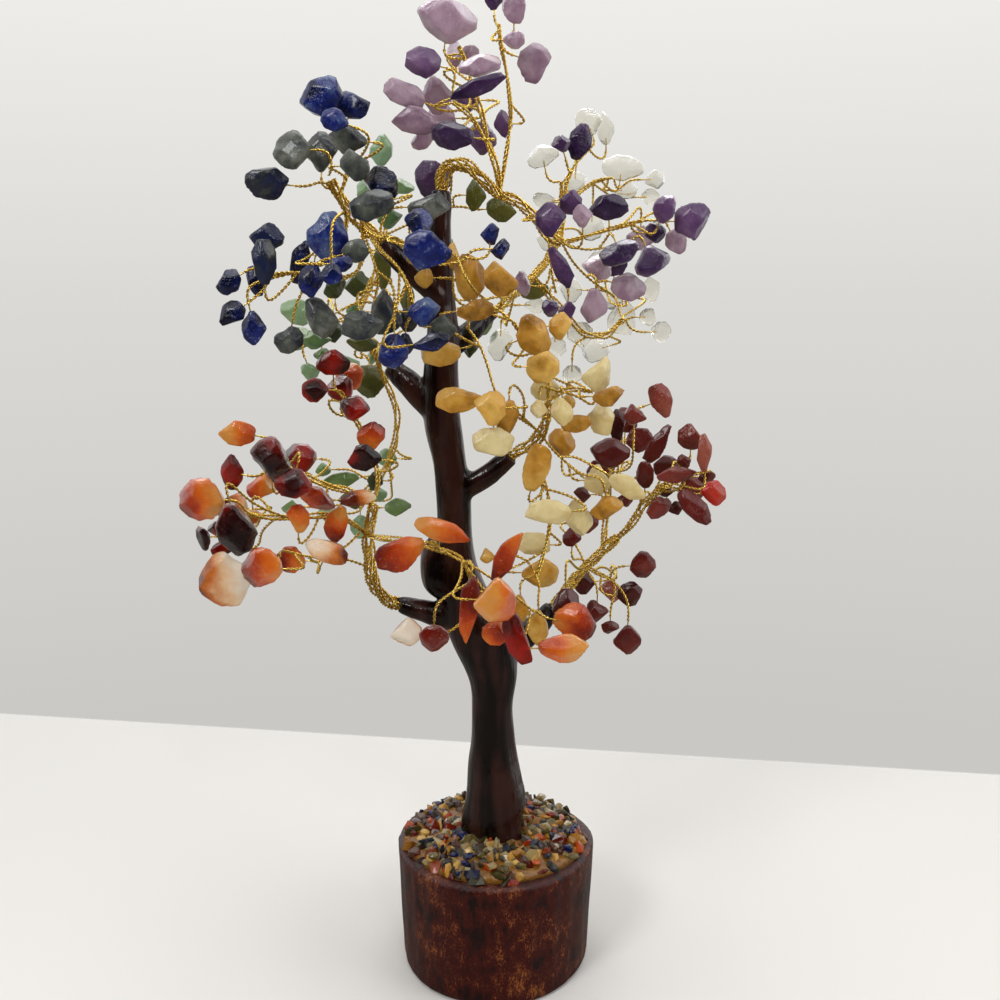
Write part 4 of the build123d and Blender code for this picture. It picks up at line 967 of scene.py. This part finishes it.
def heap_surface(closed):
    """A low heap over the glue bed, out to the log's rim, with its underside closed or open."""
    low, high = (np.array(corner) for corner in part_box("gravel_bed"))
    centre = (low + high) / 2
    radius = (high - low)[0] / 2 + HEAP_OVER_BED
    height = (high - low)[2] + HEAP_RISE
    places = [(centre[0], centre[1], low[2] + height)]
    for ring in range(1, HEAP_RINGS + 1):
        share = ring / HEAP_RINGS
        for spoke in range(HEAP_SPOKES):
            turn = 2 * math.pi * spoke / HEAP_SPOKES
            across = centre[0] + radius * share * math.cos(turn)
            back = centre[1] + radius * share * math.sin(turn)
            places.append((across, back, low[2] + height * (1 - share ** HEAP_FALL)))
    faces = []
    for spoke in range(HEAP_SPOKES):
        after = (spoke + 1) % HEAP_SPOKES
        faces.append((0, 1 + spoke, 1 + after))
        for ring in range(HEAP_RINGS - 1):
            inner = 1 + ring * HEAP_SPOKES
            outer = inner + HEAP_SPOKES
            faces.append((inner + spoke, outer + spoke, outer + after, inner + after))
    if closed:
        rim = 1 + (HEAP_RINGS - 1) * HEAP_SPOKES
        faces.append(tuple(range(rim + HEAP_SPOKES - 1, rim - 1, -1)))
    mesh = bpy.data.meshes.new("heap_surface")
    mesh.from_pydata(places, [], faces)
    return mesh


def crumbs_tree():
    """Geometry nodes that strew one crumb shape over a surface, each crumb turned and sized by chance."""
    tree = bpy.data.node_groups.new("strewn_crumbs", "GeometryNodeTree")
    wanted = [
        ("Geometry", "NodeSocketGeometry"), ("Crumb", "NodeSocketObject"), ("Density", "NodeSocketFloat"),
        ("Seed", "NodeSocketInt"), ("Material", "NodeSocketMaterial"),
    ]
    for name, kind in wanted:
        tree.interface.new_socket(name, in_out="INPUT", socket_type=kind)
    tree.interface.new_socket("Geometry", in_out="OUTPUT", socket_type="NodeSocketGeometry")
    inputs = tree.nodes.new("NodeGroupInput").outputs

    def chance(kind, low, high, salt):
        number = geometry_node(tree, "ShaderNodeMath", {"operation": "ADD"}, {0: inputs["Seed"], 1: salt})
        from_low, to_high = {"FLOAT_VECTOR": (0, 1), "FLOAT": (2, 3)}[kind]
        made = geometry_node(tree, "FunctionNodeRandomValue", {"data_type": kind}, {
            from_low: low, to_high: high, "Seed": number.outputs[0]})
        return next(output for output in made.outputs if output.enabled)

    def chances(ends, salt):
        low, high = ends
        return chance("FLOAT_VECTOR", (low, low, low), (high, high, high), salt)

    spots = geometry_node(tree, "GeometryNodeDistributePointsOnFaces", {}, {
        "Mesh": inputs["Geometry"], "Density": inputs["Density"], "Seed": inputs["Seed"]})
    crumb = geometry_node(tree, "GeometryNodeObjectInfo", {}, {"Object": inputs["Crumb"]})
    strewn = geometry_node(tree, "GeometryNodeInstanceOnPoints", {}, {
        "Points": spots.outputs["Points"], "Instance": crumb.outputs["Geometry"],
        "Rotation": chances(CRUMB_TURNS, TURN_SALT), "Scale": chances(CRUMB_SIZES, SIZE_SALT)})
    marked = strewn.outputs["Instances"]
    settings = {"data_type": "FLOAT", "domain": "INSTANCE"}
    for label, salt in TONE_SALTS.items():
        kept = geometry_node(tree, "GeometryNodeStoreNamedAttribute", settings, {
            "Geometry": marked, "Name": label, "Value": chance("FLOAT", *CRUMB_TONES, salt)})
        marked = kept.outputs["Geometry"]
    real = geometry_node(tree, "GeometryNodeRealizeInstances", {}, {"Geometry": marked})
    tinted = geometry_node(tree, "GeometryNodeSetMaterial", {}, {
        "Geometry": real.outputs["Geometry"], "Material": inputs["Material"]})
    output = tree.nodes.new("NodeGroupOutput")
    tree.links.new(tinted.outputs["Geometry"], output.inputs["Geometry"])
    return tree


def make_gravel():
    tree = crumbs_tree()
    crumb = crumb_shape()
    for number, (stone, settings) in enumerate(GRAVEL_LOOKS.items()):
        material = stone_finish(f"gravel_{stone}", shine=GRAVEL_SHINE, coat=GRAVEL_COAT, **settings)
        piece = make_stones(f"crushed_{stone}", f"gravel_{stone}", TRUNK_BODY, material,
                            GRAVEL_FINENESS, GRAVEL_ROUNDING)
        crumbs = grown(f"crumbs_{stone}", heap_surface(closed=False), tree, {
            "Crumb": crumb, "Density": CRUMB_DENSITY * CRUMB_SHARES[stone], "Seed": SEED + number,
            "Material": material})
        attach(crumbs, TRUNK_BODY)


# Trunk and log

TRUNK_VOXEL = 0.6 * MM
TRUNK_SMOOTHING = 8
LOG_VOXEL = 0.8 * MM
LOG_SMOOTHING = 2
SMOOTHING_SHARE = 0.5
STUB_TAPER = 0.25
STUB_TAPER_LENGTH = 7.0 * MM
STUB_REACH = 5.5 * MM
KNOT_HEIGHT = 120.5 * MM
KNOT_HALF = 9.5 * MM
KNOT_OUT = 4.0 * MM
KNOT_WAY = np.array([-0.95, -0.3, 0.0])
FLARE_HEIGHT = 16.0 * MM
FLARE_OUT = 2.6 * MM
FLARE_WAY = np.array([0.97, -0.25, 0.0])
RIPPLE_STRETCH = np.array([1.0, 1.0, 0.22])
RIPPLE_SCALE = 230.0
RIPPLE_SHIFT = np.array([3.0, 5.0, 7.0])
RIPPLE_HEIGHT = 0.45 * MM
KNOBS_SCALE = 90.0
KNOBS_SHIFT = np.array([11.0, 2.0, 9.0])
KNOBS_HEIGHT = 0.5 * MM
GROOVE_STRETCH = np.array([1.0, 1.0, 0.2])
GROOVE_SCALE = 260.0
GROOVE_SHIFT = np.array([2.0, 8.0, 1.0])
GROOVE_DEPTH = 0.32 * MM
SWELL_SCALE = 90.0
SWELL_SHIFT = np.array([6.0, 1.0, 4.0])
SWELL_HEIGHT = 0.4 * MM


def remade(name, node, voxel, smoothing):
    """An even mesh of a CAD node's shape, softened at its edges."""
    points, triangles = merged_mesh(node)[:2]
    mesh = bpy.data.meshes.new(name)
    mesh.from_pydata(points.tolist(), [], triangles.tolist())
    source = shown_object(name + "_source", mesh)
    remesh = source.modifiers.new("remesh", "REMESH")
    remesh.mode = "VOXEL"
    remesh.voxel_size = voxel
    soften = source.modifiers.new("soften", "SMOOTH")
    soften.factor = SMOOTHING_SHARE
    soften.iterations = smoothing
    graph = bpy.context.evaluated_depsgraph_get()
    made = bpy.data.meshes.new_from_object(source.evaluated_get(graph))
    made.name = name
    bpy.data.objects.remove(source)
    return made


def points_and_normals(mesh):
    places = np.empty(len(mesh.vertices) * 3)
    mesh.vertices.foreach_get("co", places)
    normals = np.empty(len(mesh.vertices) * 3)
    mesh.vertices.foreach_get("normal", normals)
    return places.reshape(-1, 3), normals.reshape(-1, 3)


def tapered(places):
    """The trunk's points, drawn in towards each stub's mouth."""
    for branch in BRANCHES:
        pivot, _, way = mouth_of(branch)
        offsets = places - pivot
        along = offsets @ way
        aside = offsets - along[:, None] * way
        near = (along > -STUB_TAPER_LENGTH) & (along < STUB_REACH)
        near &= np.linalg.norm(aside, axis=1) < STUB_REACH
        share = np.clip(1.0 + along / STUB_TAPER_LENGTH, 0.0, 1.0)
        places = places - aside * (STUB_TAPER * share * near)[:, None]
    return places


def make_trunk():
    """The trunk with its knot, its tapered stubs, a flare at its foot and a rippled skin."""
    mesh = remade("trunk_wood", "trunk", TRUNK_VOXEL, TRUNK_SMOOTHING)
    places, normals = points_and_normals(mesh)
    knot = np.clip(1.0 - ((places[:, 2] - KNOT_HEIGHT) / KNOT_HALF) ** 4, 0.0, 1.0)
    knot = knot * np.sqrt(np.clip(normals @ KNOT_WAY, 0.0, 1.0))
    places = tapered(places + KNOT_WAY * (KNOT_OUT * knot)[:, None])
    bed_low, bed_high = (corner[2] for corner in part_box("gravel_bed"))
    flare = np.clip(1.0 - np.abs(places[:, 2] - bed_high) / FLARE_HEIGHT, 0.0, 1.0)
    flare = flare * (places[:, 2] > bed_low) * np.sqrt(np.clip(normals @ FLARE_WAY, 0.0, 1.0))
    places = places + FLARE_WAY * (FLARE_OUT * flare)[:, None]
    ripple = noise_over(places * RIPPLE_STRETCH, RIPPLE_SCALE, RIPPLE_SHIFT)
    knobs = noise_over(places, KNOBS_SCALE, KNOBS_SHIFT)
    places = places + normals * (ripple * RIPPLE_HEIGHT + knobs * KNOBS_HEIGHT)[:, None]
    mesh.vertices.foreach_set("co", places.reshape(-1))
    mesh.shade_smooth()
    mesh.materials.clear()
    mesh.materials.append(trunk_finish())
    piece = shown_object("trunk_wood", mesh)
    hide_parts("trunk")
    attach(piece, TRUNK_BODY)


def make_log():
    """The log with upright grooves and swells in its bark."""
    mesh = remade("bark_log", "base_log", LOG_VOXEL, LOG_SMOOTHING)
    places, normals = points_and_normals(mesh)
    upright = places * GROOVE_STRETCH
    groove = noise_over(upright, GROOVE_SCALE, GROOVE_SHIFT)
    swell = noise_over(upright, SWELL_SCALE, SWELL_SHIFT)
    sideways = 1.0 - np.abs(normals[:, 2])
    height = (GROOVE_DEPTH * groove + SWELL_HEIGHT * swell) * sideways
    places = places + normals * height[:, None]
    mesh.vertices.foreach_set("co", places.reshape(-1))
    mesh.shade_smooth()
    mesh.materials.clear()
    mesh.materials.append(bark_finish())
    piece = shown_object("bark_log", mesh)
    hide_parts("base_log")
    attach(piece, TRUNK_BODY)


def make_bed():
    mesh = heap_surface(closed=True)
    mesh.materials.append(glue_finish())
    mesh.shade_smooth()
    piece = shown_object("glue_heap", mesh)
    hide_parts("gravel_bed")
    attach(piece, TRUNK_BODY)


# The whole scene

bpy.context.scene.view_settings.view_transform = "Standard"
make_camera()
make_world()
for lamp, settings in LAMPS.items():
    make_lamp(lamp, **settings)
make_floor()
make_log()
make_trunk()
make_bed()
make_gravel()
gold_wire = gold_finish()
wire_tree = twisted_wire_tree()
chip_loops = {}
for branch in BRANCHES:
    loop_lines = [line for line, _ in centrelines(f"{branch}_loops")]
    chip_loops[branch] = loop_lines
    make_wires(branch, loop_lines, wire_tree, gold_wire)
make_chips(chip_loops)
